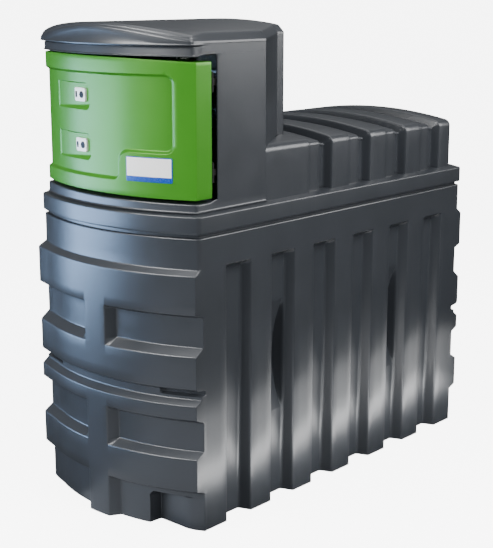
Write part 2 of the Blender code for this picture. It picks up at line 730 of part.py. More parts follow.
def make_fill_cap():
    cap = add_object("fill_cap", cylinder((NECK_X, NECK_Y, NECK_TOP + GAP + CAP_HEIGHT / 2),
                                          CAP_RADIUS, CAP_HEIGHT), BLACK_PLASTIC)
    bevel(cap, 0.004)


def make_feed_line():
    """Board at the rear wall with the suction pipe, the filter and the pump with its motor."""
    board_rear = CAB_INNER_REAR - GAP
    board_face = board_rear - BOARD_THICK
    seat = board_face - GAP
    add_object("backboard", box((-BOARD_HALF, board_face, BOARD_BOTTOM),
                                (BOARD_HALF, board_rear, BOARD_TOP)), WHITE_PLASTIC)
    foot = (SUCTION_X, FEED_Y, CAB_FLOOR + GAP)
    end = (FILTER_LOW[0] - GAP, FEED_Y, FEED_Z)
    tube("suction_pipe", elbow(foot, (SUCTION_X, FEED_Y, FEED_Z), end), FEED_PIPE_RADIUS,
         PLATED_STEEL)

    for name, low, high, material in (("filter_head", FILTER_LOW, FILTER_HIGH, CAST_ALUMINIUM),
                                      ("pump_head", PUMP_LOW, PUMP_HIGH, PAINTED_IRON)):
        block = bevel(add_object(name, box(low, high), material), 0.005)
        bracket = box((low[0] + BRACKET_INSET, high[1] - WALL, low[2] + BRACKET_INSET),
                      (high[0] - BRACKET_INSET, seat, high[2] - BRACKET_INSET))
        combine(block, add_object(f"{name}_bracket", bracket), "UNION")

    bowl_top = FILTER_LOW[2] - GAP
    bowl = cylinder((FILTER_X, FEED_Y, (BOWL_BOTTOM + bowl_top) / 2), BOWL_RADIUS,
                    bowl_top - BOWL_BOTTOM)
    bevel(add_object("filter_bowl", bowl, CLEAR_BOWL), 0.008)
    low, high = FILTER_HIGH[0] + GAP, PUMP_LOW[0] - GAP
    add_object("pump_inlet_pipe", cylinder(((low + high) / 2, FEED_Y, FEED_Z), INLET_PIPE_RADIUS,
                                           high - low, "X", 20), PLATED_STEEL)
    motor_x = PUMP_HIGH[0] + GAP + MOTOR_LENGTH / 2
    motor = cylinder((motor_x, MOTOR_Y, MOTOR_Z), MOTOR_RADIUS, MOTOR_LENGTH, "X", 28)
    bevel(add_object("pump_motor", motor, PAINTED_IRON), 0.006)
    return seat


def make_metering(seat):
    """Delivery pipe, flow meter and hose tail, the contents gauge, the switch and the holster."""
    start = (OUTLET_X, MOTOR_Y, PUMP_HIGH[2] + GAP)
    end = (METER_X - METER_RADIUS - GAP, MOTOR_Y, METER_Z)
    tube("outlet_pipe", elbow(start, (OUTLET_X, MOTOR_Y, METER_Z), end), OUTLET_RADIUS,
         PLATED_STEEL)
    meter = add_object("flow_meter", cylinder((METER_X, (METER_FRONT + METER_REAR) / 2, METER_Z),
                                              METER_RADIUS, METER_REAR - METER_FRONT, "Y", 32),
                       CAST_ALUMINIUM)
    bevel(meter, 0.005)
    foot_length = seat - METER_REAR + WALL
    foot = cylinder((METER_X, seat - foot_length / 2, METER_Z), METER_FOOT_RADIUS, foot_length,
                    "Y", 20)
    combine(meter, add_object("meter_foot", foot), "UNION")
    start = (METER_X + METER_RADIUS + GAP, MOTOR_Y, METER_Z)
    tube("hose_tail", elbow(start, (TAIL_X, MOTOR_Y, METER_Z), (TAIL_X, MOTOR_Y, TAIL_BOTTOM)),
         OUTLET_RADIUS, PLATED_STEEL)

    gauge = cylinder((GAUGE_X, seat - GAUGE_DEPTH / 2, GAUGE_Z), GAUGE_RADIUS, GAUGE_DEPTH, "Y", 28)
    bevel(add_object("contents_gauge", gauge, BLACK_PLASTIC), 0.003)
    switch = box(SWITCH_LOW, (SWITCH_HIGH_X, seat, SWITCH_HIGH_Z))
    bevel(add_object("switch_box", switch, BLACK_PLASTIC), 0.004)

    wall = CAB_HALF - WALL - GAP
    plate = box((wall - HOLSTER_PLATE, HOLSTER_Y - HOLSTER_HALF_DEPTH,
                 HOLSTER_Z - HOLSTER_HALF_HEIGHT),
                (wall, HOLSTER_Y + HOLSTER_HALF_DEPTH, HOLSTER_Z + HOLSTER_HALF_HEIGHT))
    holster = add_object("nozzle_holster", plate, BLACK_PLASTIC)
    centre = (wall - HOLSTER_REACH, HOLSTER_Y, HOLSTER_Z)
    combine(holster, add_object("holster_socket", cylinder(centre, HOLSTER_RADIUS, HOLSTER_LENGTH)),
            "UNION")
    arm = box((centre[0], HOLSTER_Y - HOLSTER_PLATE, HOLSTER_Z - HOLSTER_LENGTH / 2),
              (wall - HOLSTER_PLATE / 2, HOLSTER_Y + HOLSTER_PLATE, HOLSTER_Z + HOLSTER_LENGTH / 2))
    combine(holster, add_object("holster_arm", arm), "UNION")
    combine(holster, add_object("holster_bore", cylinder(centre, HOLSTER_BORE, BORE_CUT)), "DIFFERENCE")


def hang_on_pivot(pieces):
    """Parents the door's pieces to an empty on the hinge axis, without moving them."""
    pivot = bpy.data.objects.new("door_pivot", None)
    PARTS.objects.link(pivot)
    pivot.location = (HINGE_X, HINGE_Y, 0.0)
    for piece in pieces:
        piece.parent = pivot
        piece.matrix_parent_inverse = Matrix.Translation(-pivot.location)


make_bund()
make_inner_tank()
make_lid()
make_cabinet()
make_fill_cap()
board_seat = make_feed_line()
make_metering(board_seat)
hang_on_pivot(make_door() + make_door_fittings() + make_hinges())
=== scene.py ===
import math

import bpy
import numpy as np
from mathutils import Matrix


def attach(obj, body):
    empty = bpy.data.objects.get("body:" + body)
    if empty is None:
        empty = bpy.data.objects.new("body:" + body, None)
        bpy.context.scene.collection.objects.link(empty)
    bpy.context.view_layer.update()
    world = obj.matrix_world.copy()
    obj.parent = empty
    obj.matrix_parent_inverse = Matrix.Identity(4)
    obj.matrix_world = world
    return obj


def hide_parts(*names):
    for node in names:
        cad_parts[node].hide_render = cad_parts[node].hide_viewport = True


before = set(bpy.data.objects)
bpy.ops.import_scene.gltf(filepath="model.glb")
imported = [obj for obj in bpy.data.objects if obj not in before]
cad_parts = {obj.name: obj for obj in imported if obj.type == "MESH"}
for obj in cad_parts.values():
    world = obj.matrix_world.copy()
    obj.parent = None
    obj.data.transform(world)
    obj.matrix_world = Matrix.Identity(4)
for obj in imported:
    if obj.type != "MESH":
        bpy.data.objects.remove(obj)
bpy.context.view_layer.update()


# Camera
# It stands to the front right of the tank and looks slightly down on it, as in the photograph.
camera_data = bpy.data.cameras.new("camera")
camera_data.sensor_width = 36.0
camera_data.lens = 80.86
camera = bpy.data.objects.new("camera", camera_data)
camera.location = (3.3778, -3.9224, 1.9737)
camera.rotation_euler = (math.radians(77.0), 0.0, math.radians(41.63))
bpy.context.collection.objects.link(camera)
bpy.context.scene.camera = camera


# Studio
# A pale floor that runs into a pale backdrop, under large soft lamps.
def linear(colour):
    """sRGB hex colour as linear RGBA: c / 12.92 below 0.04045, else ((c + 0.055) / 1.055) ^ 2.4."""
    values = np.array([int(colour[i:i + 2], 16) for i in (1, 3, 5)]) / 255
    values = np.where(values <= 0.04045, values / 12.92, ((values + 0.055) / 1.055) ** 2.4)
    return (*values.tolist(), 1.0)


def feed(node, **sockets):
    """Fills a node's inputs with values or links; a node as a value stands for its output in use.

    An input is named as in Blender, with _ for a space; input0 or input7 picks one by its place.
    """
    for key, value in sockets.items():
        name = key.replace("_", " ")
        socket = node.inputs[int(name[5:])] if name.startswith("input") else node.inputs[name]
        if isinstance(value, bpy.types.Node):
            value = next(output for output in value.outputs if output.enabled)
        if isinstance(value, bpy.types.NodeSocket):
            node.id_data.links.new(value, socket)
        else:
            socket.default_value = value


def add_node(tree, kind, settings=None, **sockets):
    """Adds a node, sets its properties and fills its inputs."""
    node = tree.nodes.new("ShaderNode" + kind)
    for key, value in (settings or {}).items():
        setattr(node, key, value)
    feed(node, **sockets)
    return node


def new_material(name):
    """Material with nothing but its Principled shader; returns it, its tree and the shader."""
    material = bpy.data.materials.new(name)
    material.use_nodes = True
    tree = material.node_tree
    return material, tree, tree.nodes["Principled BSDF"]


def add_piece(name, verts, faces, material, smooth_angle=40.0):
    """Object at the origin from an array of points and a list of faces, sharp over an angle."""
    mesh = bpy.data.meshes.new(name)
    mesh.from_pydata(np.asarray(verts).reshape(-1, 3), [], faces)
    mesh.materials.append(material)
    mesh.validate()
    mesh.shade_smooth()
    mesh.set_sharp_from_angle(angle=math.radians(smooth_angle))
    piece = bpy.data.objects.new(name, mesh)
    bpy.context.collection.objects.link(piece)
    return piece


def grid(x, y, z):
    """Points from three arrays, spread to a common shape."""
    return np.stack(np.broadcast_arrays(x, y, z), -1)


def tube_faces(columns, rows):
    """Quads of a closed tube whose points are numbered column by column, with its two end faces."""
    c, r = np.meshgrid(np.arange(columns), np.arange(rows - 1), indexing="ij")
    n = (c + 1) % columns
    quads = np.stack([c * rows + r, n * rows + r, n * rows + r + 1, c * rows + r + 1], -1)
    ring = np.arange(columns) * rows
    return [*quads.reshape(-1, 4).tolist(), ring[::-1].tolist(), (ring + rows - 1).tolist()]


# Matt paper that glows; only the camera sees it, so it is bright without lighting the tank
studio_paper, _, shader = new_material("pale_studio_paper")
feed(shader, Base_Color=linear("#F4F4F4"), Roughness=0.9, Specular_IOR_Level=0.1,
     Emission_Color=linear("#F7F7F7"), Emission_Strength=7.0)

# A disc of 30 m that turns up through a quarter circle of 8 m into a wall all round
turn = np.linspace(0.0, math.pi / 2, 13)
paper_radius = np.concatenate([[2.0, 6.0, 14.0, 24.0], 30.0 + 8.0 * np.sin(turn), [38.0]])
paper_height = np.concatenate([[0.0] * 4, 8.0 - 8.0 * np.cos(turn), [30.0]])
angle = np.linspace(0.0, 2 * math.pi, 97)[:-1, None]
paper = grid(paper_radius * np.cos(angle), paper_radius * np.sin(angle), paper_height)
floor = add_piece("studio_floor", paper,
                  [face[::-1] for face in tube_faces(*paper.shape[:2])[:-1]], studio_paper, 60.0)
floor.visible_diffuse = floor.visible_glossy = floor.visible_shadow = False
floor.visible_transmission = floor.visible_volume_scatter = False

# Faint light from all round, a little stronger from above
world = bpy.data.worlds.new("studio_air")
bpy.context.scene.world = world
world.use_nodes = True
tree = world.node_tree
direction = add_node(tree, "SeparateXYZ", Vector=add_node(tree, "TexCoord").outputs["Generated"])
share = add_node(tree, "MapRange", From_Min=0.0, From_Max=0.8, To_Min=0.03, To_Max=0.35,
                 Value=direction.outputs["Z"])
feed(tree.nodes["Background"], Strength=share, Color=linear("#F2F4F8"))


def add_lamp(name, place, target, size, radiance, shows="both", colour="#FFFFFF"):
    """Rectangular soft lamp at a place, facing a target, that the camera doesn't see; its power is
    pi times its area times its radiance. One that shows as "sheen" is seen in reflections alone,
    and one that shows as "fill" in none."""
    light = bpy.data.lights.new(name, "AREA")
    light.shape = "RECTANGLE"
    light.size, light.size_y = size
    light.energy = math.pi * size[0] * size[1] * radiance
    light.color = linear(colour)[:3]
    lamp = bpy.data.objects.new(name, light)
    lamp.location = place
    aim = np.subtract(target, place)
    lamp.rotation_euler = (math.atan2(math.hypot(aim[0], aim[1]), -aim[2]), 0.0,
                           math.atan2(aim[1], aim[0]) - math.pi / 2)
    lamp.visible_camera = False
    lamp.visible_diffuse, lamp.visible_glossy = shows != "sheen", shows != "fill"
    bpy.context.collection.objects.link(lamp)


for lamp in (
        ("overhead_lamp", (0.3, -0.2, 4.6), (0.0, 0.0, 0.6), (3.6, 3.6), 2.0, "fill"),
        ("overhead_sheen", (0.3, -0.6, 4.6), (0.2, -0.4, 0.6), (3.4, 4.0), 3.2, "sheen"),
        ("far_sheen", (-1.4, 3.0, 3.9), (0.2, -0.1, 1.3), (2.4, 1.2), 0.6, "sheen"),
        ("front_lamp", (-0.6, -4.1, 3.9), (0.0, -0.9, 0.8), (2.4, 1.0), 40.0, "sheen"),
        ("front_fill", (-1.2, -4.6, 1.7), (0.0, -0.9, 0.8), (2.2, 1.8), 21.0, "fill"),
        ("right_lamp", (3.6, -0.4, 4.2), (0.4, 0.0, 0.7), (2.0, 2.0), 14.0),
        ("right_fill", (3.6, 0.2, 0.4), (0.4, 0.0, 0.4), (2.4, 1.0), 9.0, "fill"),
        ("camera_fill", (4.4, -3.9, 1.7), (0.0, 0.0, 0.6), (2.4, 2.2), 4.5, "fill"),
        ("floor_sheen", (0.7, -2.45, -0.02), (0.7, -2.45, 1.0), (3.0, 1.9), 1.1, "sheen",
         "#EAF0FA"),
        ("left_sheen", (-2.5, -3.65, 0.92), (0.0, -3.65, 0.92), (3.7, 1.5), 21.0, "sheen",
         "#A8CEFF"),
        ("high_side_sheen", (3.2, 2.6, 2.8), (0.4, 0.0, 2.6), (2.6, 2.0), 11.0, "sheen"),
        ("low_side_sheen", (0.62, 0.12, 0.11), (0.4, 0.12, 0.11), (1.85, 0.08), 17.0, "sheen"),
        ("low_side_glow", (0.62, 0.15, 0.26), (0.4, 0.15, 0.26), (1.95, 0.22), 3.0, "sheen")):
    add_lamp(*lamp)


# Outer tub
# One rotationally moulded polyethylene body: ribbed long sides, bowed ends with raised bands and a
# middle post, scoops for lifting straps in two grooves of each side, and pockets at the foot.
TUB_HALF, TUB_CORNER, TUB_APEX = 0.4245, 0.850, 0.956
TUB_BOW = (TUB_HALF, TUB_CORNER, TUB_APEX)
TUB_TOP = 1.115
TUB_ROUND = 0.020
RIM_ROUND = 0.004


def ramp(value, start, end, soft_start, soft_end):
    """Rises from 0 at start to 1 at end in a straight line, with a parabola of half-width soft at
    each of its two corners."""
    length = end - start
    t = (value - start) / length
    a, b = soft_start / abs(length), soft_end / abs(length)
    low = np.where(t < -a, 0.0, np.where(t < a, (t + a) ** 2 / (4 * a), t))
    return np.where(t > 1 + b, 1.0, np.where(t > 1 - b, 1 - (1 + b - t) ** 2 / (4 * b), low))


def share_of(value, start, end):
    """(value - start) / (end - start), held between 0 and 1."""
    return np.clip((value - start) / (end - start), 0.0, 1.0)


def soft_min(a, b, width):
    """Lesser of two values, blended by a parabola where they differ by less than width."""
    gap = np.clip(1 - np.abs(a - b) / width, 0.0, 1.0)
    return np.minimum(a, b) - gap * gap * width / 4


def edge_lines(start, end, soft_start, soft_end):
    """Grid lines that resolve a ramp and its two rounded corners."""
    steps = np.array([-1.0, -0.5, 0.0, 0.5, 1.0])
    sign = np.sign(end - start)
    return np.concatenate([start + sign * steps * min(soft_start, abs(end - start) / 2),
                           end + sign * steps * min(soft_end, abs(end - start) / 2),
                           [start - sign * soft_start, end + sign * soft_end]])


def fill_lines(lines, low, high, widest):
    """Sorted lines between low and high, with more put evenly into every gap over widest."""
    lines = np.concatenate([[low, high], *lines])
    lines = np.unique(np.round(lines[(lines >= low) & (lines <= high)], 5))
    lines = lines[np.concatenate([[True], np.diff(lines) > 0.0004])]
    out = [np.linspace(a, b, int(np.ceil((b - a) / widest)) + 1)[:-1]
           for a, b in zip(lines[:-1], lines[1:])]
    return np.concatenate([*out, [lines[-1]]])


def bow_radius(half, corner, apex):
    """Radius of the arc of a bowed end: (half^2 + sag^2) / (2 sag), with sag = apex - corner."""
    sag = apex - corner
    return (half * half + sag * sag) / (2 * sag)


def bow(x, half, corner, apex):
    """Distance of a bowed end from the middle: apex - R + sqrt(R^2 - x^2)."""
    radius = bow_radius(half, corner, apex)
    return apex - radius + np.sqrt(radius * radius - x * x)


def corner_fillet(half, corner, apex, round_radius, count):
    """Arc that rounds the corner between the bowed end and the side: points (x, distance)."""
    radius = bow_radius(half, corner, apex)
    centre_x = half - round_radius
    rise = math.sqrt((radius - round_radius) ** 2 - centre_x ** 2)
    angles = np.linspace(math.atan2(rise, centre_x), 0.0, count)
    return (centre_x + round_radius * np.cos(angles),
            apex - radius + rise + round_radius * np.sin(angles))


def around(quarter):
    """Full loop of columns from those of the front right quarter, which run from x = 0 to y = 0.

    The quarter is mirrored front to back, then both halves left to right.
    """
    half = np.concatenate([quarter, quarter[::-1][1:] * (1, -1, 1)])
    return np.concatenate([half, half[::-1][1:-1] * (-1, 1, 1)])


# The figure on the ends. An edge is given by where its ramp starts and ends and by the roundings of
# its two corners; across the end it is measured from the middle, otherwise from the ground
FIGURE_RISE = 0.024
WINDOW_FLOOR = -0.016
CHANNEL_DEPTH = 0.028
SLOT_DEPTH = 0.050
SOFT = 0.0035
POST_EDGE = (0.055, 0.080, SOFT, SOFT)
FOOT_EDGE = (0.165, 0.152, SOFT, SOFT)
TOP_LEDGE = (0.982, 1.002, SOFT, SOFT)
UPPER_WINDOW = ((0.684, 0.714, SOFT, SOFT), (0.838, 0.825, SOFT, SOFT))
LOWER_WINDOW = ((0.292, 0.316, SOFT, SOFT), (0.444, 0.427, SOFT, SOFT))
CHANNEL_LOW, CHANNEL_HIGH = (0.498, 0.518, 0.002, 0.003), (0.560, 0.549, 0.005, 0.002)
SLOT_SIDE = (0.272, 0.280, 0.002, 0.002)
SLOT_LOW, SLOT_HIGH = (0.526, 0.533, 0.002, 0.002), (0.556, 0.550, 0.003, 0.002)
ARCH_X, ARCH_Z, ARCH_RADIUS = 0.243, 0.102, 0.028
POCKET_FACE = 0.859
# The plain strip at the top of the tub, below which the corners are drawn out
STRIP_EDGE = (1.006, 0.982, SOFT, SOFT)
CORNER_DRAW = 0.78
# How far the left front corner is moved further out along each axis
LEFT_CORNER_OUT = (0.0030, 0.0110, 0.0)


def window(x, z, below, above):
    """Depth share of a window beside the post: the least of the ramps at its three edges."""
    return soft_min(ramp(x, *POST_EDGE), soft_min(ramp(z, *below), ramp(z, *above), 0.08), 0.08)


def end_relief(x, z):
    """How far the end stands out from its wall: the raised figure, less the deepest of its windows,
    the channel across it, the slots at the channel's ends, and the pockets at the foot, which end
    on the outer side in a flat arch set in by ARCH_RADIUS."""
    top = FIGURE_RISE * ramp(z, *TOP_LEDGE)
    windows = np.maximum(window(x, z, *UPPER_WINDOW), window(x, z, *LOWER_WINDOW))
    foot = np.minimum(ramp(x, *POST_EDGE), ramp(z, *FOOT_EDGE))
    windows = np.maximum(windows, foot) * (FIGURE_RISE - WINDOW_FLOOR)
    channel = CHANNEL_DEPTH * np.minimum(ramp(z, *CHANNEL_LOW), ramp(z, *CHANNEL_HIGH))
    slot = SLOT_DEPTH * ramp(x, *SLOT_SIDE) * np.minimum(ramp(z, *SLOT_LOW), ramp(z, *SLOT_HIGH))
    relief = FIGURE_RISE - np.maximum(np.maximum(top, windows), np.maximum(channel, slot))
    wall = bow(np.minimum(x, TUB_HALF - 0.0001), *TUB_BOW)
    arch = np.hypot(np.maximum(ARCH_X - x, 0), np.maximum(z - ARCH_Z, 0))
    inside = ramp(arch, ARCH_RADIUS, ARCH_RADIUS - 0.004, 0.002, 0.002) * (x > 0.21) * (z < 0.14)
    pocket = POCKET_FACE - wall
    return np.where(pocket < relief, relief + (pocket - relief) * inside, relief)


# The long sides: grooves a pitch apart, with walls that slope to their floor
GROOVE_PITCH = 0.2566
GROOVE_CENTRES = [(index + 0.5) * GROOVE_PITCH for index in range(3)]
GROOVE_FLOOR = 0.0485
GROOVE_WALL = (0.0685, GROOVE_FLOOR, 0.004, 0.006)
GROOVE_TOP = 1.000
GROOVE_END = (GROOVE_TOP, GROOVE_TOP - 0.020, 0.004, 0.006)
GROOVE_DEPTH, GROOVE_TAPER = 0.043, 0.013
SCOOP_GROOVE = 1
SCOOP_HEIGHT, SCOOP_HALF, SCOOP_DEPTH = 0.575, 0.225, 0.050
SIDE_START = -0.826


def side_depth(y, z):
    """Depth of the long side: grooves that deepen in a straight line towards the ground, and in two
    of them scoops, each an arc of a circle of radius (half^2 + depth^2) / (2 depth)."""
    depth = np.zeros(np.broadcast(y, z).shape)
    for index, centre in enumerate(GROOVE_CENTRES):
        off = np.abs(y + centre)
        share = soft_min(ramp(off, *GROOVE_WALL), ramp(z, *GROOVE_END), 0.25)
        groove = (GROOVE_DEPTH + GROOVE_TAPER * (GROOVE_TOP - z) / GROOVE_TOP) * share
        if index == SCOOP_GROOVE:
            radius = (SCOOP_HALF ** 2 + SCOOP_DEPTH ** 2) / (2 * SCOOP_DEPTH)
            arc = np.sqrt(np.maximum(radius ** 2 - (z - SCOOP_HEIGHT) ** 2, 0.0)) - radius
            across = ramp(off, GROOVE_FLOOR, GROOVE_FLOOR - 0.004, 0.001, 0.001)
            groove = groove + np.maximum(SCOOP_DEPTH + arc, 0.0) * across
        depth = np.maximum(depth, groove)
    return depth


def tub_rows():
    """Heights of the tub's grid lines, close together where the relief turns."""
    # The slot's upper edge lies within the channel's, so one edge gives the lines for both
    edges = (FOOT_EDGE, *UPPER_WINDOW, *LOWER_WINDOW, TOP_LEDGE, CHANNEL_LOW, SLOT_LOW,
             (0.549, 0.560, 0.003, 0.005), GROOVE_END)
    scoop_ends = [SCOOP_HEIGHT + end + off for end in (-SCOOP_HALF, SCOOP_HALF)
                  for off in (-0.001, 0.001)]
    return fill_lines([*(edge_lines(*edge) for edge in edges), np.arange(0.098, 0.134, 0.003),
                       scoop_ends, [0.002]], 0.0, TUB_TOP - RIM_ROUND, 0.040)


def tub_quarter(rows):
    """Points of the front right quarter, column by column from the middle of the end to the middle
    of the side: the end's points move by its relief along y, the side's by its depth along x."""
    fillet_x, fillet_y = corner_fillet(*TUB_BOW, TUB_ROUND, 8)
    across = fill_lines([edge_lines(*POST_EDGE), edge_lines(*SLOT_SIDE),
                         np.arange(0.214, 0.246, 0.003)], 0.0, fillet_x[0], 0.030)[:-1]
    x = np.concatenate([across, fillet_x])[:, None]
    y = np.concatenate([bow(across, *TUB_BOW), fillet_y])[:, None]
    # The corner is drawn out towards its vertex
    sharp = CORNER_DRAW * ramp(rows, *STRIP_EDGE) * (x >= fillet_x[0])
    vertex_y = y + (TUB_CORNER - y) * sharp
    end = grid(x + (TUB_HALF + 0.002 - x) * sharp, -(vertex_y + end_relief(x, rows)), rows)

    lines = [sign * edge_lines(*GROOVE_WALL) - centre
             for centre in GROOVE_CENTRES for sign in (-1, 1)]
    lines += [sign * (GROOVE_FLOOR - np.array([0.001, 0.003, 0.005])) - GROOVE_CENTRES[SCOOP_GROOVE]
              for sign in (-1, 1)]
    along = fill_lines([*lines, [-0.815]], SIDE_START, 0.0, 0.045)[:, None]
    return np.concatenate([end, grid(TUB_HALF - side_depth(along, rows), along, rows)])


tub = around(tub_quarter(tub_rows()))
# The photo shows no arched pocket at the foot of the left front corner, so it's filled there
plain = -(bow(np.clip(-tub[..., 0], 0.0, TUB_HALF), *TUB_BOW) + WINDOW_FLOOR)
at_left = (tub[..., 0] < -0.15) & (tub[..., 1] < -0.80) & (tub[..., 2] < 0.145)
tub[..., 1] = np.where(at_left, np.minimum(tub[..., 1], plain), tub[..., 1])
# The left front corner stands a little further out than the right one
share = (share_of(tub[..., 0], -0.34, -0.425) * share_of(tub[..., 1], -0.78, -0.85)
         * ramp(tub[..., 2], *STRIP_EDGE))
tub = tub - share[..., None] * LEFT_CORNER_OUT
# The rim's edge is rounded: two more rings, each drawn in towards the middle, (inset, drop). The
# row below them is doubled, so that the strip under it isn't shaded into the rounding
mouth = tub[:, -1:] * (1, 1, 0)
reach = np.linalg.norm(mouth, axis=-1, keepdims=True)
rim = (mouth * (1 - inset / reach) + (0, 0, TUB_TOP - drop)
       for inset, drop in ((0.0012, 0.0012), (RIM_ROUND, 0.0)))
tub = np.concatenate([tub, tub[:, -1:], *rim], axis=1)


def coat(shader, share, colours, gloss, roughness, **others):
    """Gives a shader a mix of two colours by a share, a roughness between two values that follows
    gloss, and whatever else is named."""
    tree = shader.id_data
    tint = add_node(tree, "Mix", {"data_type": "RGBA"}, input0=share, input6=linear(colours[0]),
                    input7=linear(colours[1]))
    rough = add_node(tree, "MapRange", Value=gloss, To_Min=roughness[0], To_Max=roughness[1])
    feed(shader, Base_Color=tint, Roughness=rough, **others)
    return rough


def moulded_polyethylene(name, colours):
    """Rotomoulded polyethylene: waxy and half dull. Its colour drifts a little over some 150 mm,
    its skin ripples over 25 mm, and a grain from the mould's sand-blasted wall breaks the gloss;
    the real grain is under 1 mm, and it is drawn at 3 mm so that it shows."""
    material, tree, shader = new_material(name)
    place = add_node(tree, "TexCoord").outputs["Object"]
    drift, ripple, grain = (add_node(tree, "TexNoise", Vector=place, Scale=scale, Detail=detail)
                            for scale, detail in ((6.5, 3.0), (40.0, 2.0), (330.0, 3.0)))
    both = add_node(tree, "Math", {"operation": "ADD"}, input0=drift, input1=grain)
    wave = add_node(tree, "Bump", Height=ripple, Strength=0.12, Distance=0.002)
    skin = add_node(tree, "Bump", Height=grain, Strength=0.18, Distance=0.0006, Normal=wave)
    feed(coat(shader, drift, colours, both, (0.28, 0.38), Normal=skin), From_Min=0.5, From_Max=1.5)
    return material, shader


grey_plastic, _ = moulded_polyethylene("rotomoulded_grey_polyethylene", ("#2D3034", "#34373C"))


def mount(piece, body, slot, *nodes):
    """Lets a piece ride on a body and hides the CAD nodes that it stands for; slot is not used."""
    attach(piece, body)
    if nodes:
        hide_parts(*nodes)


def add_moulding(name, columns, node):
    """Closed grey moulding on the tank, from its columns of points, in place of a CAD node."""
    piece = add_piece(name, columns, tube_faces(*columns.shape[:2]), grey_plastic)
    mount(piece, "tank", "grey_plastic", node)


add_moulding("tub", tub, "bund")


# Lid
# One moulding that closes the tub: a plinth that sits in the tub's mouth, a proud rim, a sloping
# shoulder, and the plate that carries the deck and the cabinet.
LID_BOW = np.array((0.4295, 0.855, 0.961))
LID_ROUND = 0.025


def lid_quarter(inset, height):
    """Front right quarter of the lid's plan at a height, drawn in by an inset, from the middle of
    its bowed end to the middle of its side."""
    plan = LID_BOW - inset
    fillet_x, fillet_y = corner_fillet(*plan, max(LID_ROUND - inset, 0.004), 8)
    across = np.linspace(0.0, fillet_x[0], 26)[:-1]
    along = np.linspace(-fillet_y[-1], 0.0, 40)[1:]
    x = np.concatenate([across, fillet_x, np.full(along.shape, plan[0])])
    y = np.concatenate([-bow(across, *plan), -fillet_y, along])
    return grid(x, y, height)[:, None]


lid_profile = ((0.017, 1.1156), (0.017, 1.130), (0.003, 1.130), (0.0008, 1.1308), (0.0, 1.133),
               (0.0, 1.137), (0.0, 1.1880), (0.0003, 1.1908), (0.0013, 1.1932), (0.0032, 1.1947),
               (0.0060, 1.1957), (0.0190, 1.2008), (0.0220, 1.2020), (0.0275, 1.2045))
add_moulding("lid", np.concatenate([around(lid_quarter(*step)) for step in lid_profile], axis=1),
             "deck_lid")


# Deck
# The raised part of the lid behind the cabinet, in the same moulding: an arched top with broad
# ribs, each with a lower step behind it and then a groove down to the lid.
DECK_HALF = 0.405
DECK_REAR = 0.800
DECK_RIBS = 5
DECK_TOP = 1.448
DECK_ARCH = 4.1
SHOULDER_X, SHOULDER_Z, SHOULDER_ROUND = 0.375, 1.3832, 0.030
DECK_START = -0.2475
FIRST_RIB = -0.3291
RIB_EDGE = (-0.006, 0.006, 0.004, 0.004)
STEP_EDGE = (0.1216, 0.1296, 0.003, 0.004)
GAP_EDGE = (0.1996, 0.2136, 0.004, 0.005)
REAR_ROUND = 0.018
# The cabinet's slanted facet, (half width, y) at its front and at its rear edge
FACET_FRONT, FACET_REAR = (0.405, -0.470), (0.300, -0.283)
CABINET_BACK = -0.250


def cabinet_side(x):
    """Distance along y at which the cabinet stands at a given x: a straight line along its slanted
    facet, and one value behind it."""
    facet = np.interp(x, *zip(FACET_REAR, FACET_FRONT))
    return np.where(x > FACET_REAR[0], facet, CABINET_BACK)


def deck_section():
    """Right half of the deck's upright section with its outward normals: the side, a round at the
    shoulder, and the arch, top - x^2 / DECK_ARCH, up to the middle."""
    side_z = np.array([1.196, 1.22, 1.26, 1.30, 1.34, SHOULDER_Z])
    turn = np.linspace(0.0, math.radians(79.5), 9)[1:]
    top_x = np.linspace(0.3805, 0.0, 14)[1:]
    x = np.concatenate([np.full(6, DECK_HALF), SHOULDER_X + SHOULDER_ROUND * np.cos(turn), top_x])
    z = np.concatenate([side_z, SHOULDER_Z + SHOULDER_ROUND * np.sin(turn),
                        DECK_TOP - top_x ** 2 / DECK_ARCH])
    slope = np.concatenate([np.zeros(6), turn, math.pi / 2 - np.arctan(2 * top_x / DECK_ARCH)])
    return x, z, np.cos(slope), np.sin(slope)


# Edges across the deck, as (how far the skin falls there, edge): up on to each rib but the first,
# and, behind each but the last, down to its step and down into the groove
deck_edges = []
for index in range(DECK_RIBS):
    rib = FIRST_RIB + index * GROOVE_PITCH
    for drop, edge, used in ((-0.038, RIB_EDGE, index > 0),
                             (0.014, STEP_EDGE, index < DECK_RIBS - 1),
                             (0.024, GAP_EDGE, index < DECK_RIBS - 1)):
        if used:
            deck_edges.append((drop, (rib + edge[0], rib + edge[1], *edge[2:])))
stations = fill_lines([edge_lines(*edge) for _, edge in deck_edges], DECK_START,
                      DECK_REAR - REAR_ROUND, 0.030)
drops = sum(drop * ramp(stations, *edge) for drop, edge in deck_edges)
turn = np.linspace(0.0, math.pi / 2, 8)[1:]
drops = np.concatenate([drops, REAR_ROUND * (1 - np.cos(turn))])
stations = np.concatenate([stations, DECK_REAR - REAR_ROUND + REAR_ROUND * np.sin(turn)])
# The skin moves in along the section's normals, and it starts inside the cabinet's foot
section_x, section_z, normal_x, normal_z = (array[:, None] for array in deck_section())
z = section_z - normal_z * drops
z[0] = section_z[0]
skin = grid(section_x - normal_x * drops, stations, z)
front = grid(section_x, np.minimum(cabinet_side(section_x), stations[0] - 0.001), section_z)
half = np.concatenate([front, skin], axis=1)
add_moulding("deck", np.concatenate([half, half[::-1][1:] * (-1, 1, 1)])[::-1], "deck_lid")


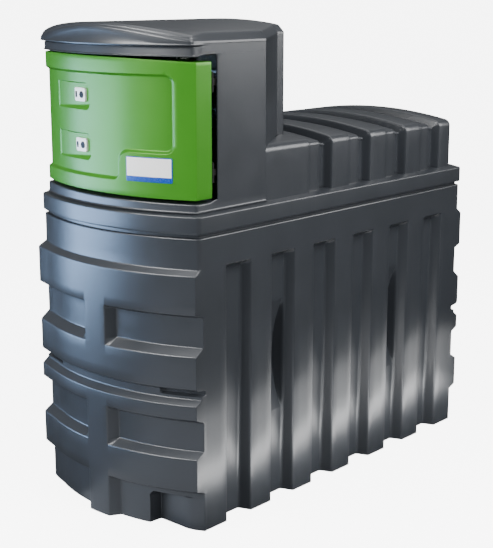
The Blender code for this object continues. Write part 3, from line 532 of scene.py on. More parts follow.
# Cabinet
# The hollow housing on the lid, in grey polyethylene: a sill below the door, walls that narrow in
# slanted facets towards the rear, and a head with the roof and the visor above the door.
CABINET_HALF, CABINET_CORNER, CABINET_APEX = 0.405, 0.840, 0.943
REAR_HALF, REAR_Y, REAR_BOW = FACET_REAR[0], -0.205, 0.030
WALL_THICKNESS = 0.008
# The inner wall's facet lies further forward, by this share of the inset
FACET_SHIFT = 0.45
JAMB_Y = -0.7325
OPENING_LOW, OPENING_HIGH, OPENING_ROUND = 1.2420, 1.7460, 0.0115


def rounded_corner(before, corner, after, radius, count=6):
    """Arc that rounds a corner between two straight lines, as points (x, y)."""
    before, corner, after = (np.array(p, float) for p in (before, corner, after))
    a, b = before - corner, after - corner
    a, b = a / np.linalg.norm(a), b / np.linalg.norm(b)
    half_angle = math.acos(float(a @ b)) / 2
    centre = corner + (a + b) / np.linalg.norm(a + b) * radius / math.sin(half_angle)
    start, end = (corner + d * radius / math.tan(half_angle) - centre for d in (a, b))
    turn = np.linspace(0.0, 1.0, count)[:, None]
    swing = math.pi - 2 * half_angle
    return centre + (np.sin((1 - turn) * swing) * start
                     + np.sin(turn * swing) * end) / math.sin(swing)


def cabinet_half(half=CABINET_HALF, corner=CABINET_CORNER, apex=CABINET_APEX, front_round=0.010,
                 inset=0.0):
    """Right half of the cabinet's plan as points (x, y), from the middle of the front round to the
    middle of the rear, which bows out by REAR_BOW (x / REAR_HALF)^2; behind the door opening it is
    drawn in by an inset."""
    fillet_x, fillet_y = corner_fillet(half, corner, apex, front_round, 7)
    across = np.linspace(0.0, fillet_x[0], 22)[:-1]
    front = np.stack([across, -bow(across, half, corner, apex)], -1)
    fillet = np.stack([fillet_x, -fillet_y], -1)
    share = np.array([[1 / 3], [2 / 3]])
    side = np.concatenate([fillet[-1] * (1 - share) + np.array((CABINET_HALF, -0.800)) * share,
                           [(CABINET_HALF, y) for y in (-0.800, -0.770, -0.745, -0.732)]])
    edge, rear = CABINET_HALF - inset, REAR_HALF - inset
    facet = (edge, FACET_FRONT[1] - FACET_SHIFT * inset)
    turn = (rear, FACET_REAR[1] - FACET_SHIFT * inset)
    back = (rear, REAR_Y - REAR_BOW - inset)
    walls = np.concatenate([
        [(edge, -0.70), (edge, -0.62), (edge, -0.54)],
        rounded_corner((edge, -0.7), facet, turn, 0.006), rounded_corner(facet, turn, back, 0.010),
        rounded_corner(turn, back, (0.0, REAR_Y - inset), 0.016)])
    rear_x = np.linspace(walls[-1, 0], 0.0, 10)
    rear_y = REAR_Y - inset - REAR_BOW * (rear_x / REAR_HALF) ** 2
    return np.concatenate([front, fillet, side, walls[:-1], np.stack([rear_x, rear_y], -1)])


def both_halves(half):
    """Closed plan from its right half, which begins and ends in the middle."""
    return np.concatenate([half, half[::-1][1:-1] * (-1, 1)])


def raised(plan, height):
    """Points (x, y, z) of a plan (x, y) at one height, or at a height for each point."""
    return np.column_stack([plan, np.broadcast_to(height, len(plan))])


def outward(plan):
    """Outward directions of a closed anticlockwise plan: its tangents turned by a quarter."""
    along = np.roll(plan, -1, axis=0) - np.roll(plan, 1, axis=0)
    return np.stack([along[:, 1], -along[:, 0]], -1) / np.linalg.norm(along, axis=-1, keepdims=True)


def fall(x):
    """How far the lines round the door opening have dropped at x: nothing at the lock side and 7 mm
    at the hinge side."""
    return 0.007 * share_of(x, -CABINET_HALF, CABINET_HALF)


plan = both_halves(cabinet_half(front_round=0.016))
# The steps at the opening's lip fade out over 22 mm along the side walls
in_front = share_of(plan[:, 1], -0.7425, -0.7645)
in_front = in_front ** 2 * (3 - 2 * in_front)
# (outset, height, 1 where it follows the lip of the opening)
sill_steps = ((0.0060, 1.2035, 0), (0.0046, 1.2040, 0), (0.0022, 1.2056, 0), (0.0007, 1.2078, 0),
              (0.0, 1.2110, 0), (0.0, 1.2350, 1), (-0.0004, 1.2374, 1), (-0.0014, 1.2396, 1),
              (-0.0030, 1.2412, 1), (-0.0050, 1.2419, 1), (-0.0075, OPENING_LOW, 1))
add_moulding("cabinet_sill", np.stack([
    raised(plan + outward(plan) * outset * np.where(at_lip, in_front, 1.0)[:, None],
           height - at_lip * fall(plan[:, 0]) * in_front)
    for outset, height, at_lip in sill_steps], axis=1), "cabinet")

outer, inner = (half[half[:, 1] > JAMB_Y][1:]
                for half in (cabinet_half(), cabinet_half(inset=WALL_THICKNESS)))
lip = [(0.398, -0.7290), (0.3995, -0.7312), (0.4015, -0.7320), (0.4035, -0.7314),
       (0.4046, -0.7298), (0.405, -0.7270)]
outer = np.concatenate([lip, outer])
wall_plan = np.concatenate([outer, outer[::-1][1:] * (-1, 1), inner * (-1, 1), inner[::-1][1:]])
# The opening's upper corners are rounded: the lip comes forward there by r - sqrt(r^2 - rise^2)
wall_heights = np.array([OPENING_LOW, OPENING_HIGH, 1.7490, 1.7515, 1.7536, 1.7552, 1.7563, 1.7570])
rise = np.clip(wall_heights - OPENING_HIGH, 0.0, 0.0112)
forward = OPENING_ROUND - np.sqrt(OPENING_ROUND ** 2 - rise ** 2)
at_lip = (wall_plan[:, 1] < -0.7265)[:, None]
add_moulding("cabinet_walls", np.stack([
    raised(wall_plan - at_lip * (0.0, shift), height)
    for shift, height in zip(forward, wall_heights)], axis=1), "cabinet")

ROOF_TOP = 1.864
ROOF_ARCH = 4.5
VISOR_FOOT = 1.7930
VISOR_LEAN = 0.05
VISOR_BOW = (0.417, 0.870, 0.975)
# The roof is arched a little more along its front edge
FRONT_ARCH, FRONT_FALL = 0.245, 0.023


def roof_arch(x):
    """Height of the roof's arch: top - x^2 / ROOF_ARCH."""
    return ROOF_TOP - x ** 2 / ROOF_ARCH


def visor_line(x):
    """Height of the top edge of the visor's front face, which falls towards its ends."""
    return np.interp(np.abs(x), (0.0, 0.060, 0.100, 0.160, 0.240, 0.325, 0.379, 0.405, 0.417),
                     (1.8500, 1.8485, 1.8450, 1.8390, 1.8270, 1.8120, 1.8035, 1.8010, 1.8005))


# Levels of the head's front, from the fascia above the door up to the visor: half width, corner and
# apex of the bow there, the rounding of its corners, and the height
head_levels = ((0.3960, 0.8360, 0.9450, 0.016, 1.7572), (0.3995, 0.8430, 0.9520, 0.018, 1.7574),
               (0.4016, 0.8465, 0.9555, 0.020, 1.7584), (0.4022, 0.8475, 0.9565, 0.022, 1.7602),
               (0.4018, 0.8468, 0.9558, 0.022, 1.7620), (0.4004, 0.8450, 0.9540, 0.022, 1.7633),
               (0.4000, 0.8444, 0.9534, 0.022, 1.7652), (0.4000, 0.8444, 0.9534, 0.022, 1.7800),
               (0.3996, 0.8437, 0.9527, 0.022, 1.7818), (0.3984, 0.8420, 0.9510, 0.020, 1.7832),
               (0.3970, 0.8396, 0.9486, 0.018, 1.7838), (0.3970, 0.8396, 0.9486, 0.018, 1.7852),
               (0.3990, 0.8460, 0.9560, 0.022, 1.7858), (0.4030, 0.8560, 0.9670, 0.024, 1.7864),
               (0.4046, 0.8592, 0.9713, 0.024, 1.7876), (0.4050, 0.8600, 0.9720, 0.024, 1.7896),
               (0.4048, 0.8595, 0.9714, 0.024, 1.7916), (0.4042, 0.8585, 0.9704, 0.024, VISOR_FOOT))
loops = [both_halves(cabinet_half(*level[:4])) for level in head_levels]
heights = [level[4] for level in head_levels]
head_rows = []
# The fascia's lower edge drops by 6 mm at the front, and a little more to the hinge side
for loop, height in zip(loops, heights):
    lowered = (0.006 + 0.5 * fall(loop[:, 0])) * share_of(loop[:, 1], -0.790, -0.830)
    head_rows.append(raised(loop, height - lowered * share_of(height, 1.7800, 1.7652)))
visor_plan = loops[-1]
at_front = share_of(visor_plan[:, 1:], -0.800, -0.845)
middle = np.array((0.0, -0.55))
reach = np.linalg.norm(visor_plan - middle, axis=-1, keepdims=True)
# The visor's face leans back up to its top edge, a double bevel: (setback, share of the height
# between the face and the roof); the walls' edge is one broad bevel: (setback, drop below the roof)
visor_edge = ((0.0, -0.90), (0.0, -0.10), (0.0008, 0.06), (0.0050, 0.33), (0.0068, 0.41),
              (0.0071, 0.56), (0.0084, 0.64), (0.0140, 0.90), (0.0170, 0.98), (0.0230, 1.0))
wall_edge = ((0.0, 0.0360), (0.0, 0.0285), (0.0007, 0.0262), (0.0022, 0.0242), (0.0070, 0.0186),
             (0.0120, 0.0128), (0.0185, 0.0054), (0.0207, 0.0036), (0.0245, 0.0018),
             (0.0310, 0.0006))
face_top = visor_line(visor_plan[:, :1])
edge_top = ROOF_TOP - FRONT_ARCH * visor_plan[:, :1] ** 2
for (setback, rise), (inset, drop) in zip(visor_edge, wall_edge):
    front_height = np.maximum(face_top + rise * (edge_top - face_top), VISOR_FOOT + 0.0015)
    setback = setback + VISOR_LEAN * (front_height - VISOR_FOOT)
    ring = middle + (visor_plan - middle) * (1 - (setback * at_front + inset * (1 - at_front))
                                             / reach)
    height = front_height * at_front + (roof_arch(ring[:, :1]) - drop) * (1 - at_front)
    head_rows.append(raised(ring, height[:, 0]))
# Rings of the roof, close to the edge as insets and further in as shares of 0.34
for inset in (0.040, 0.050, 0.070, 0.10, 0.14, 0.18, 0.23, 0.28):
    ring = middle + (visor_plan - middle) * (1 - inset / (0.34 if inset > 0.05 else reach))
    front_line = -bow(np.clip(ring[:, 0], -0.416, 0.416), *VISOR_BOW)
    back = share_of(ring[:, 1], front_line, front_line + 0.15)
    height = roof_arch(ring[:, 0]) - FRONT_FALL * ring[:, 0] ** 2 * (1 - back)
    head_rows.append(raised(ring, height))
under = raised(middle + (loops[0] - middle) * 0.05, heights[0])
add_moulding("cabinet_head", np.stack([under, *head_rows], axis=1), "cabinet")


# Door
# A hollow moulded door in green polyethylene, bowed like the tub below it, with a proud frame round
# a recessed panel that wraps round the left corner, and a finger pocket behind each lock.
DOOR_LOW, DOOR_HIGH = 1.255, 1.750
DOOR_REAR = -0.760
DOOR_HALF, DOOR_CORNER, DOOR_APEX = 0.405, 0.840, 0.945
DOOR_BOW = (DOOR_HALF, DOOR_CORNER, DOOR_APEX)
PANEL_DEPTH = 0.012
# Boxes of the panel, both open to the left: left, right, low, high, and the corners' radii
PANEL_UPPER = (-1.0, 0.332, 1.410, 1.687, 0.01, 0.034)
PANEL_LOWER = (-1.0, 0.108, 1.306, 1.560, 0.01, 0.024)
POCKET_LEFT, POCKET_RIGHT = -0.270, -0.045
POCKET_BELOW, POCKET_ABOVE = 0.0535, 0.0445
POCKET_START, POCKET_DEEPENS = 0.002, 0.0095
WALL_SLOPE, SILL_SLOPE = 3.2, 0.62
LOCK_HEIGHTS = {"lower": 1.4145, "upper": 1.5993}


def inside_box(x, z, left, right, low, high, round_left, round_right):
    """Distance inside a box with rounded corners: r minus the length of what reaches past the
    corner's centre lines, on both axes."""
    radius = np.where(x > (left + right) / 2, round_right, round_left)
    over_x = np.maximum(left + radius - x, x - right + radius)
    over_z = np.maximum(low + radius - z, z - high + radius)
    outside = np.hypot(np.maximum(over_x, 0), np.maximum(over_z, 0))
    return radius - outside - np.minimum(np.maximum(over_x, over_z), 0)


def door_depth(x, z):
    """How far the door's face lies behind its frame: the panel, which is an upper box joined to a
    lower one on its left, and in it two pockets that deepen to the right."""
    panel = -soft_min(-inside_box(x, z, *PANEL_UPPER), -inside_box(x, z, *PANEL_LOWER), 0.053)
    depth = PANEL_DEPTH * ramp(panel, 0.0, 0.0075, 0.0022, 0.003)
    for middle in LOCK_HEIGHTS.values():
        low, high = middle - POCKET_BELOW, middle + POCKET_ABOVE
        across = (x - POCKET_LEFT) / (POCKET_RIGHT - POCKET_LEFT)
        edge = inside_box(x, z, POCKET_LEFT, POCKET_RIGHT, low, high, 0.003, 0.028)
        wall = np.minimum(WALL_SLOPE * edge, SILL_SLOPE * (z - low))
        pocket = soft_min(POCKET_START + POCKET_DEEPENS * across, wall, 0.0025)
        depth = depth + np.maximum(pocket, 0.0) * (edge > 0)
    return depth


def door_side(half, corner, front_round):
    """Right-hand corner and side of the door's plan, as far as the rounded edge at its rear."""
    fillet_x, fillet_y = corner_fillet(half, corner, DOOR_APEX, front_round, 9)
    turn = np.linspace(0.0, math.pi / 2, 4)[1:]
    x = [fillet_x, np.full(4, half), half - 0.003 + 0.003 * np.cos(turn)]
    y = [-fillet_y, np.linspace(-fillet_y[-1], DOOR_REAR - 0.003, 5)[1:],
         DOOR_REAR - 0.003 + 0.003 * np.sin(turn)]
    return np.stack([np.concatenate(x), np.concatenate(y)], -1)


def door_outline(columns):
    """U-shaped plan from the left edge of the rear, round the bowed front, to the right edge; the
    left corner is rounder than the right one."""
    narrow = DOOR_HALF - 0.006
    left = door_side(narrow, bow(narrow, *DOOR_BOW), 0.024)
    right = door_side(DOOR_HALF, DOOR_CORNER, 0.005)
    columns = columns[(columns > -left[0, 0] + 0.001) & (columns < right[0, 0] - 0.001)]
    front = np.stack([columns, -bow(columns, *DOOR_BOW)], -1)
    return np.concatenate([left[::-1] * (-1, 1), front, right])


def settled(x, z):
    """Height of a point of the door: its top edge falls by 4 mm at the left to 19 mm at the right,
    and its lower edge by up to 7 mm."""
    share = share_of(x, -DOOR_HALF, DOOR_HALF)
    top, low = share_of(z, 1.700, 1.746), share_of(z, 1.290, 1.255)
    return z - (0.004 + 0.015 * share ** 3) * top - 0.007 * share * low


# Grid lines of the skin, close together at the edges of the panel and of the pockets
columns, heights = (
    fill_lines([np.arange(*span) for span in spans], low, high, widest)
    for spans, low, high, widest in (
        (((-0.278, -0.260, 0.0022), (-0.075, -0.040, 0.0022), (0.074, 0.160, 0.003),
          (0.292, 0.336, 0.0026)), -0.400, 0.400, 0.013),
        (((1.302, 1.334, 0.0022), (1.358, 1.388, 0.0022), (1.390, 1.466, 0.0026),
          (1.542, 1.572, 0.0022), (1.616, 1.690, 0.0024)), DOOR_LOW + 0.0045,
         DOOR_HIGH - 0.0045, 0.015)))
outline = door_outline(columns)
x, y = outline[:, :1], outline[:, 1:]
depth = door_depth(x, heights) * ((y < DOOR_REAR - 0.0025) | (x < 0))
depth = depth * ramp(y, DOOR_REAR - 0.004, DOOR_REAR - 0.030, 0.001, 0.012)
tangent = np.gradient(outline, axis=0)
tangent /= np.linalg.norm(tangent, axis=-1, keepdims=True)
skin = grid(x - tangent[:, 1:] * depth, y + tangent[:, :1] * depth, settled(x, heights))
# The skin's lower and upper edges are rounded towards the middle of the door's rear
toward = np.array((0.0, DOOR_REAR)) - outline
toward[:, 1] *= outline[:, 1] < DOOR_REAR - 0.004
toward /= np.linalg.norm(toward, axis=-1, keepdims=True)


def door_edge(inset, height):
    """Row of the door's outline, drawn in towards the middle of its rear."""
    return raised(outline + toward * inset, settled(outline[:, 0], height))[:, None]


skin = np.concatenate([door_edge(0.0040, DOOR_LOW), door_edge(0.0012, DOOR_LOW + 0.0012), skin,
                       door_edge(0.0012, DOOR_HIGH - 0.0012), door_edge(0.0040, DOOR_HIGH)], axis=1)
# The hollow behind the skin, open to the rear
inner_x = np.linspace(-0.372, 0.393, 40)
inner = np.concatenate([
    [(-0.378, DOOR_REAR), (-0.378, -0.778), (-0.378, -0.796), (-0.3760, -0.7985)],
    np.stack([inner_x, 0.032 - bow(inner_x, *DOOR_BOW)], -1),
    [(0.3958, -0.8085), (0.397, -0.806), (0.397, -0.78), (0.397, DOOR_REAR)]])
inner_z = np.concatenate([[1.263, 1.2645, 1.268], np.linspace(1.30, 1.71, 12),
                          [1.726, 1.7285, 1.730]])
hollow = grid(inner[:, :1], inner[:, 1:], inner_z)


def open_quads(ids):
    """Quads of an open grid of point numbers."""
    return np.stack([ids[:-1, :-1], ids[1:, :-1], ids[1:, 1:], ids[:-1, 1:]], -1).reshape(-1, 4)


# Flat faces close the skin and the hollow below and above, and a frame joins them at the rear
out_ids = np.arange(skin.shape[0] * skin.shape[1]).reshape(skin.shape[:2])
in_ids = np.arange(hollow.shape[0] * hollow.shape[1]).reshape(hollow.shape[:2]) + out_ids.size
caps = (out_ids[::-1, 0], out_ids[:, -1], in_ids[:, 0], in_ids[::-1, -1],
        np.concatenate([out_ids[0], in_ids[0, ::-1]]),
        np.concatenate([out_ids[-1, ::-1], in_ids[-1]]),
        np.array([out_ids[0, -1], out_ids[-1, -1], in_ids[-1, -1], in_ids[0, -1]]),
        np.array([out_ids[-1, 0], out_ids[0, 0], in_ids[0, 0], in_ids[-1, 0]]))
door_faces = [*open_quads(out_ids).tolist(), *open_quads(in_ids)[:, ::-1].tolist(),
              *(cap.tolist() for cap in caps)]

# The same plastic as the tub in green, whose gloss has a green cast
green_plastic, shader = moulded_polyethylene("rotomoulded_green_polyethylene",
                                             ("#33771C", "#3A7F20"))
feed(shader, Specular_Tint=linear("#C4FF9A"))
door = add_piece("door_shell", np.concatenate([skin.reshape(-1, 3), hollow.reshape(-1, 3)]),
                 door_faces, green_plastic)
mount(door, "door", "green_plastic", "door")


# Locks
# Two white plastic lock plates at the right end of the finger pockets, each with a black slot for
# the latch and a black key barrel pressed into it.
def turned(profile, centre, facing, count=32, lobes=None):
    """Surface of revolution: each (radius, distance) of the profile, in millimetres, swept round
    the facing axis at a centre; lobes is a function of the angle that scales the radius."""
    radius, along = np.array(profile, float).T / 1000
    angle = np.linspace(0.0, 2 * math.pi, count + 1)[:-1, None]
    scale = 1.0 if lobes is None else lobes(angle)
    local = grid(radius * scale * np.cos(angle), radius * scale * np.sin(angle), along)
    return local @ facing + centre, tube_faces(count, len(radius))


def block(half_u, half_v, corner, steps, centre, facing, along_edge=0):
    """Loft of rounded rectangles, in millimetres: each step is (inset, distance) along the facing
    axis, and along_edge is the number of extra points on each straight edge."""
    turn = np.linspace(0.0, math.pi / 2, 6) + np.arange(4)[:, None] * math.pi / 2
    sign = np.array([(1, 1), (-1, 1), (-1, -1), (1, -1)])[:, None]
    share = np.linspace(0.0, 1.0, along_edge + 2)[1:-1, None]
    rings = []
    for inset, along in steps:
        r = max(corner - inset, 0.2)
        corners = (sign * (half_u - inset - r, half_v - inset - r)
                   + r * np.stack([np.cos(turn), np.sin(turn)], -1))
        edges = corners[:, -1:] * (1 - share) + np.roll(corners[:, :1], -1, axis=0) * share
        rings.append(raised(np.concatenate([corners, edges], axis=1).reshape(-1, 2), along))
    rings = np.stack(rings, axis=1) / 1000
    return rings @ facing + centre, tube_faces(*rings.shape[:2])


def add_parts(name, parts, material, body, slot, *nodes, smooth_angle=35.0):
    """One piece on a body from several closed parts, each its points and its faces."""
    verts, faces, start = [], [], 0
    for points, part_faces in parts:
        verts.append(points.reshape(-1, 3))
        faces += [[start + index for index in face] for face in part_faces]
        start += len(verts[-1])
    piece = add_piece(name, np.concatenate(verts), faces, material, smooth_angle)
    mount(piece, body, slot, *nodes)


def grained(name, scale, detail, colours, roughness, bump=None):
    """Material on one noise that mixes two colours, moves the roughness between two values and,
    with bump as (strength, distance), raises the skin; returns it and its shader."""
    material, tree, shader = new_material(name)
    place = add_node(tree, "TexCoord").outputs["Object"]
    grain = add_node(tree, "TexNoise", Vector=place, Scale=scale, Detail=detail)
    coat(shader, grain, colours, grain, roughness)
    if bump:
        feed(shader, Normal=add_node(tree, "Bump", Height=grain, Strength=bump[0],
                                     Distance=bump[1]))
    return material, shader


# White ABS, injection moulded: glossy, with a hardly visible ripple over 6 mm that breaks its
# reflections
white_abs, _ = grained("glossy_white_abs", 180.0, 2.0, ("#F6F7F5", "#FDFDFB"), (0.26, 0.36),
                       (0.15, 0.0003))

# Black nylon with a moulded grain of 1 mm: dull, almost no reflection
black_nylon, shader = grained("grained_black_nylon", 900.0, 3.0, ("#121315", "#1E2023"),
                              (0.45, 0.62), (0.25, 0.0004))
feed(shader, Specular_IOR_Level=0.22)

LOCK_X = -0.107
lean = LOCK_X / math.sqrt(bow_radius(*DOOR_BOW) ** 2 - LOCK_X ** 2)
lock_side = np.array((1.0, lean, 0.0)) / math.hypot(1.0, lean)
LOCK_FACING = np.array([lock_side, (0, 0, 1), (lock_side[1], -lock_side[0], 0)])
for name, height in LOCK_HEIGHTS.items():
    face = np.array((LOCK_X, 0.0140 - bow(LOCK_X, *DOOR_BOW), height))
    key = face + lock_side * 0.0120
    latch = face - lock_side * 0.0230
    add_parts(f"lock_face_{name}", [
        block(33.8, 25.5, 8, [(0, -11), (0, -1.6), (0.5, -0.5), (1.8, 0), (4, 0)], face,
              LOCK_FACING),
        turned([(14.8, -0.5), (14.8, 0.6), (14.2, 1.2), (13.4, 1.2), (12.4, 0.4)], key,
               LOCK_FACING, 40)], white_abs, "door", "white_plastic", f"lock_plate_{name}")
    add_parts(f"lock_key_barrel_{name}", [
        turned([(12.2, -0.5), (12.2, 1.8), (11.5, 2.5), (9.4, 2.5), (8.6, 1.2)], key, LOCK_FACING),
        block(1, 5, 0.4, [(0, 0.6), (0, 2.1), (0.3, 2.4)], key, LOCK_FACING),
        block(5.2, 11.2, 3, [(0, -1), (0, 0.4), (0.6, 0.8)], latch, LOCK_FACING)],
        black_nylon, "door", "black_plastic", f"lock_barrel_{name}")


# Label plate
# A bare plate at the door's lower right corner, thin white film on plastic with a printed blue edge
# and a blue band along its foot.
FRONT = np.array([(1, 0, 0), (0, 0, 1), (0, -1, 0)], float)
LABEL_X, LABEL_Z = 0.235, 1.3515
LABEL_HALF_WIDTH, LABEL_HALF_HEIGHT = 0.090, 0.0445
BORDER = 0.0030
BAND_TOP = 1.3262
steps = [(0, -1), (0, 1.9), (0.2, 2.2), (0.7, 2.3), *((inset, 2.3) for inset in range(4, 45, 8))]
label, label_faces = block(1000 * LABEL_HALF_WIDTH, 1000 * LABEL_HALF_HEIGHT, 5, steps,
                           (LABEL_X, 0.0, LABEL_Z), FRONT, 12)
label[..., 1] -= bow(label[..., 0], *DOOR_BOW)

# Printed film: white and blue ink under a clear glossy coat, mottled over 4 mm
label_film, tree, shader = new_material("printed_label_film")
place = add_node(tree, "TexCoord").outputs["Object"]
axes = add_node(tree, "SeparateXYZ", Vector=place)
edges = []
for axis, centre, half in (("X", LABEL_X, LABEL_HALF_WIDTH), ("Z", LABEL_Z, LABEL_HALF_HEIGHT)):
    off = add_node(tree, "Math", {"operation": "SUBTRACT"}, input0=axes.outputs[axis],
                   input1=centre)
    away = add_node(tree, "Math", {"operation": "ABSOLUTE"}, input0=off)
    edges.append(add_node(tree, "MapRange", Value=away, From_Min=half - BORDER - 0.0002,
                          From_Max=half - BORDER + 0.0002))
band = add_node(tree, "MapRange", Value=axes.outputs["Z"], From_Min=BAND_TOP + 0.0002,
                From_Max=BAND_TOP - 0.0002)
border = add_node(tree, "Math", {"operation": "MAXIMUM"}, input0=edges[0], input1=edges[1])
ink = add_node(tree, "Math", {"operation": "MAXIMUM"}, input0=border, input1=band)
mottle = add_node(tree, "TexNoise", Vector=place, Scale=260.0, Detail=2.0)
blue = add_node(tree, "Mix", {"data_type": "RGBA"}, input0=mottle, input6=linear("#07409F"),
                input7=linear("#0949AC"))
tint = add_node(tree, "Mix", {"data_type": "RGBA"}, input0=ink, input6=linear("#FFFFFF"),
                input7=blue)
rough = add_node(tree, "MapRange", Value=mottle, To_Min=0.22, To_Max=0.32)
feed(shader, Base_Color=tint, Roughness=rough)
mount(add_piece("label_face", label, label_faces, label_film), "door", "label_film", "label_plate")


# Hinges and pipes
# Two butt hinges of steel sheet in the right-hand gap, and threaded steel pipe from the inner tank
# through the filter, pump and meter to the hose tail, joined by six-sided nuts.
UP = np.eye(3)
RIGHT = np.array([(0, 1, 0), (0, 0, 1), (1, 0, 0)], float)


def nut(width, low, high, centre, facing):
    """Six-sided nut or bolt head with chamfered corners, in millimetres, from one distance to
    another."""
    corner, chamfer = width / math.sqrt(3), 0.08 * width
    return turned([(corner * 0.9, low), (corner, low + chamfer), (corner, high - chamfer),
                   (corner * 0.9, high)], centre, facing, 6)


def finish_nodes(material, *nodes):
    """Gives the material to CAD nodes whose shape stays as it is."""
    for node in nodes:
        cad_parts[node].material_slots[0].material = material


# Zinc-plated steel: bright grey metal with spangles of 5 mm and a cloudy haze over 20 mm
plated_steel, tree, shader = new_material("zinc_plated_steel")
place = add_node(tree, "TexCoord").outputs["Object"]
spangle = add_node(tree, "TexVoronoi", Vector=place, Scale=220.0)
haze = add_node(tree, "TexNoise", Vector=place, Scale=45.0, Detail=4.0)
skin = add_node(tree, "Bump", Height=spangle, Strength=0.10, Distance=0.0003)
coat(shader, haze, ("#A9AAA6", "#CDCEC9"), spangle, (0.28, 0.46), Metallic=1.0, Normal=skin)
finish_nodes(plated_steel, "suction_pipe", "pump_inlet_pipe", "outlet_pipe", "hose_tail")

# Black-passivated zinc plate under a matt sealer, on the hinges: nearly black with a brown cast,
# and a dull, weak sheen that is uneven over 10 mm
black_zinc, shader = grained("black_passivated_steel", 90.0, 4.0, ("#0D0C0C", "#1A1917"),
                             (0.50, 0.68))
feed(shader, Specular_IOR_Level=0.25)
finish_nodes(black_zinc, "hinge_cabinet_leaf_lower", "hinge_cabinet_leaf_upper",
             "hinge_door_leaf_lower", "hinge_door_leaf_upper", "hinge_pin_lower",
             "hinge_pin_upper")

FEED_Y, FEED_Z, PIPE_Y = -0.330, 1.578, -0.340
FLANGE = np.array((-0.255, FEED_Y, 1.2353))
HOSE_TAIL = (0.250, PIPE_Y, 1.597)
BOLT_OFFSET = 0.01846
foot_bolts = [nut(10, 6, 12, FLANGE + BOLT_OFFSET * np.array((*side, 0)), UP)
              for side in ((1, 1), (-1, 1), (-1, -1), (1, -1))]
barbs = [turned([(12.5, low), (15, low + 1), (12.5, low + 7)], HOSE_TAIL, UP) for low in (0, 9, 18)]
add_parts("pipe_unions", [
    turned([(34, 0.3), (35, 1), (35, 5), (34, 6), (18, 6.2)], FLANGE, UP, 40), *foot_bolts,
    nut(44, 28, 50, FLANGE, UP),
    nut(42, -21.5, -1, (-0.205, FEED_Y, FEED_Z), RIGHT),
    nut(36, 0.5, 15.5, (-0.115, FEED_Y, FEED_Z), RIGHT),
    nut(36, -15.5, -0.5, (-0.065, FEED_Y, FEED_Z), RIGHT),
    nut(34, 0.5, 15, (-0.010, PIPE_Y, 1.600), UP),
    nut(34, -16.5, -1, (0.100, PIPE_Y, 1.660), RIGHT),
    nut(34, 1, 16.5, (0.210, PIPE_Y, 1.660), RIGHT), *barbs,
    nut(31, 27, 36, HOSE_TAIL, UP)], plated_steel, "tank", "plated_steel", smooth_angle=30.0)


# Inner tank and filling cap
# The sealed inner tank is moulded in unpigmented polyethylene; its neck comes up through the
# cabinet's floor and is closed by a black screw cap with a grip bar.

# Unpigmented polyethylene: milky and waxy, with clouds over 70 mm
natural_plastic, _ = grained("natural_polyethylene", 14.0, 3.0, ("#C9C8BC", "#E2E1D8"),
                             (0.42, 0.55))
finish_nodes(natural_plastic, "inner_tank")


def grip(angle):
    """Eighteen shallow flutes round the cap's rim."""
    return 1.0 - 0.035 * np.clip(2.2 * np.cos(18 * angle) - 1.0, 0.0, 1.0)


CAP = (-0.245, -0.560, 1.2623)
add_parts("fill_cap_turned", [
    turned([(55, 0), (57, 1.5), (57.5, 4), (57.5, 23.5), (56.5, 27.5), (54, 30), (50, 31.2)], CAP,
           UP, 144, grip),
    turned([(50, 30), (50, 31.2), (44, 32), (40, 30)], CAP, UP, 48),
    block(42, 7.5, 6, [(0, 28), (0, 40), (1, 42.5), (3, 44)], CAP, UP)],
    black_nylon, "tank", "black_plastic", "fill_cap")


# Board, filter and pump
# A white board on the rear wall carries a cast filter head with a clear bowl and a cast-iron vane
# pump with a finned electric motor.
BOARD_FACE, SEAT = -0.2513, -0.2516
finish_nodes(white_abs, "backboard")
add_parts("board_screws", [
    turned([(7, -0.5), (7, 1.2), (5.5, 2.8), (2, 3.4)], (x, BOARD_FACE, z), FRONT, 20)
    for x in (-0.262, 0.0, 0.262) for z in (1.314, 1.726)], plated_steel, "tank", "plated_steel")

# Die-cast aluminium: grey metal, with a sandy skin of 2 mm from the die
cast_aluminium, shader = grained("die_cast_aluminium", 520.0, 3.0, ("#9A9B9C", "#BFC0C1"),
                                 (0.40, 0.60), (0.35, 0.0005))
feed(shader, Metallic=1.0)

# Enamelled cast iron: dark blue-grey paint over a casting rough at 6 mm, so its gloss is uneven
painted_iron, _ = grained("enamelled_cast_iron", 170.0, 4.0, ("#1C2430", "#2B3644"), (0.25, 0.42),
                          (0.4, 0.0008))

# Clear amber nylon: a glossy bowl through which the fuel's colour shows up to its surface
FUEL_SURFACE = 1.5085
amber_bowl, tree, shader = new_material("clear_amber_nylon")
place = add_node(tree, "TexCoord").outputs["Object"]
level = add_node(tree, "SeparateXYZ", Vector=place).outputs["Z"]
above = add_node(tree, "MapRange", Value=level, From_Min=FUEL_SURFACE - 0.0035,
                 From_Max=FUEL_SURFACE + 0.0035)
swirl = add_node(tree, "TexNoise", Vector=place, Scale=60.0)
coat(shader, above, ("#C9962E", "#EFE3BF"), swirl, (0.08, 0.18), Transmission_Weight=0.35)

FILTER = (-0.160, FEED_Y, 0.0)
add_parts("filter_head_cast", [
    block(45, 45, 22, [(4, 1555.5), (1, 1557), (0, 1560), (0, 1593), (1.5, 1597.5), (5, 1600)],
          FILTER, UP),
    turned([(44, 1555.2), (45, 1556.5), (45, 1562)], FILTER, UP, 40),
    nut(20, 1599.5, 1608.5, FILTER, UP),
    block(33, 10.5, 2, [(0, 0.4), (0, 43)], (-0.160, SEAT, 1.5775), FRONT)],
    cast_aluminium, "tank", "cast_aluminium", "filter_head")


def flutes(angle):
    """Sixteen shallow waves round the bowl."""
    return 1.0 - 0.018 * (0.5 + 0.5 * np.cos(16 * angle))


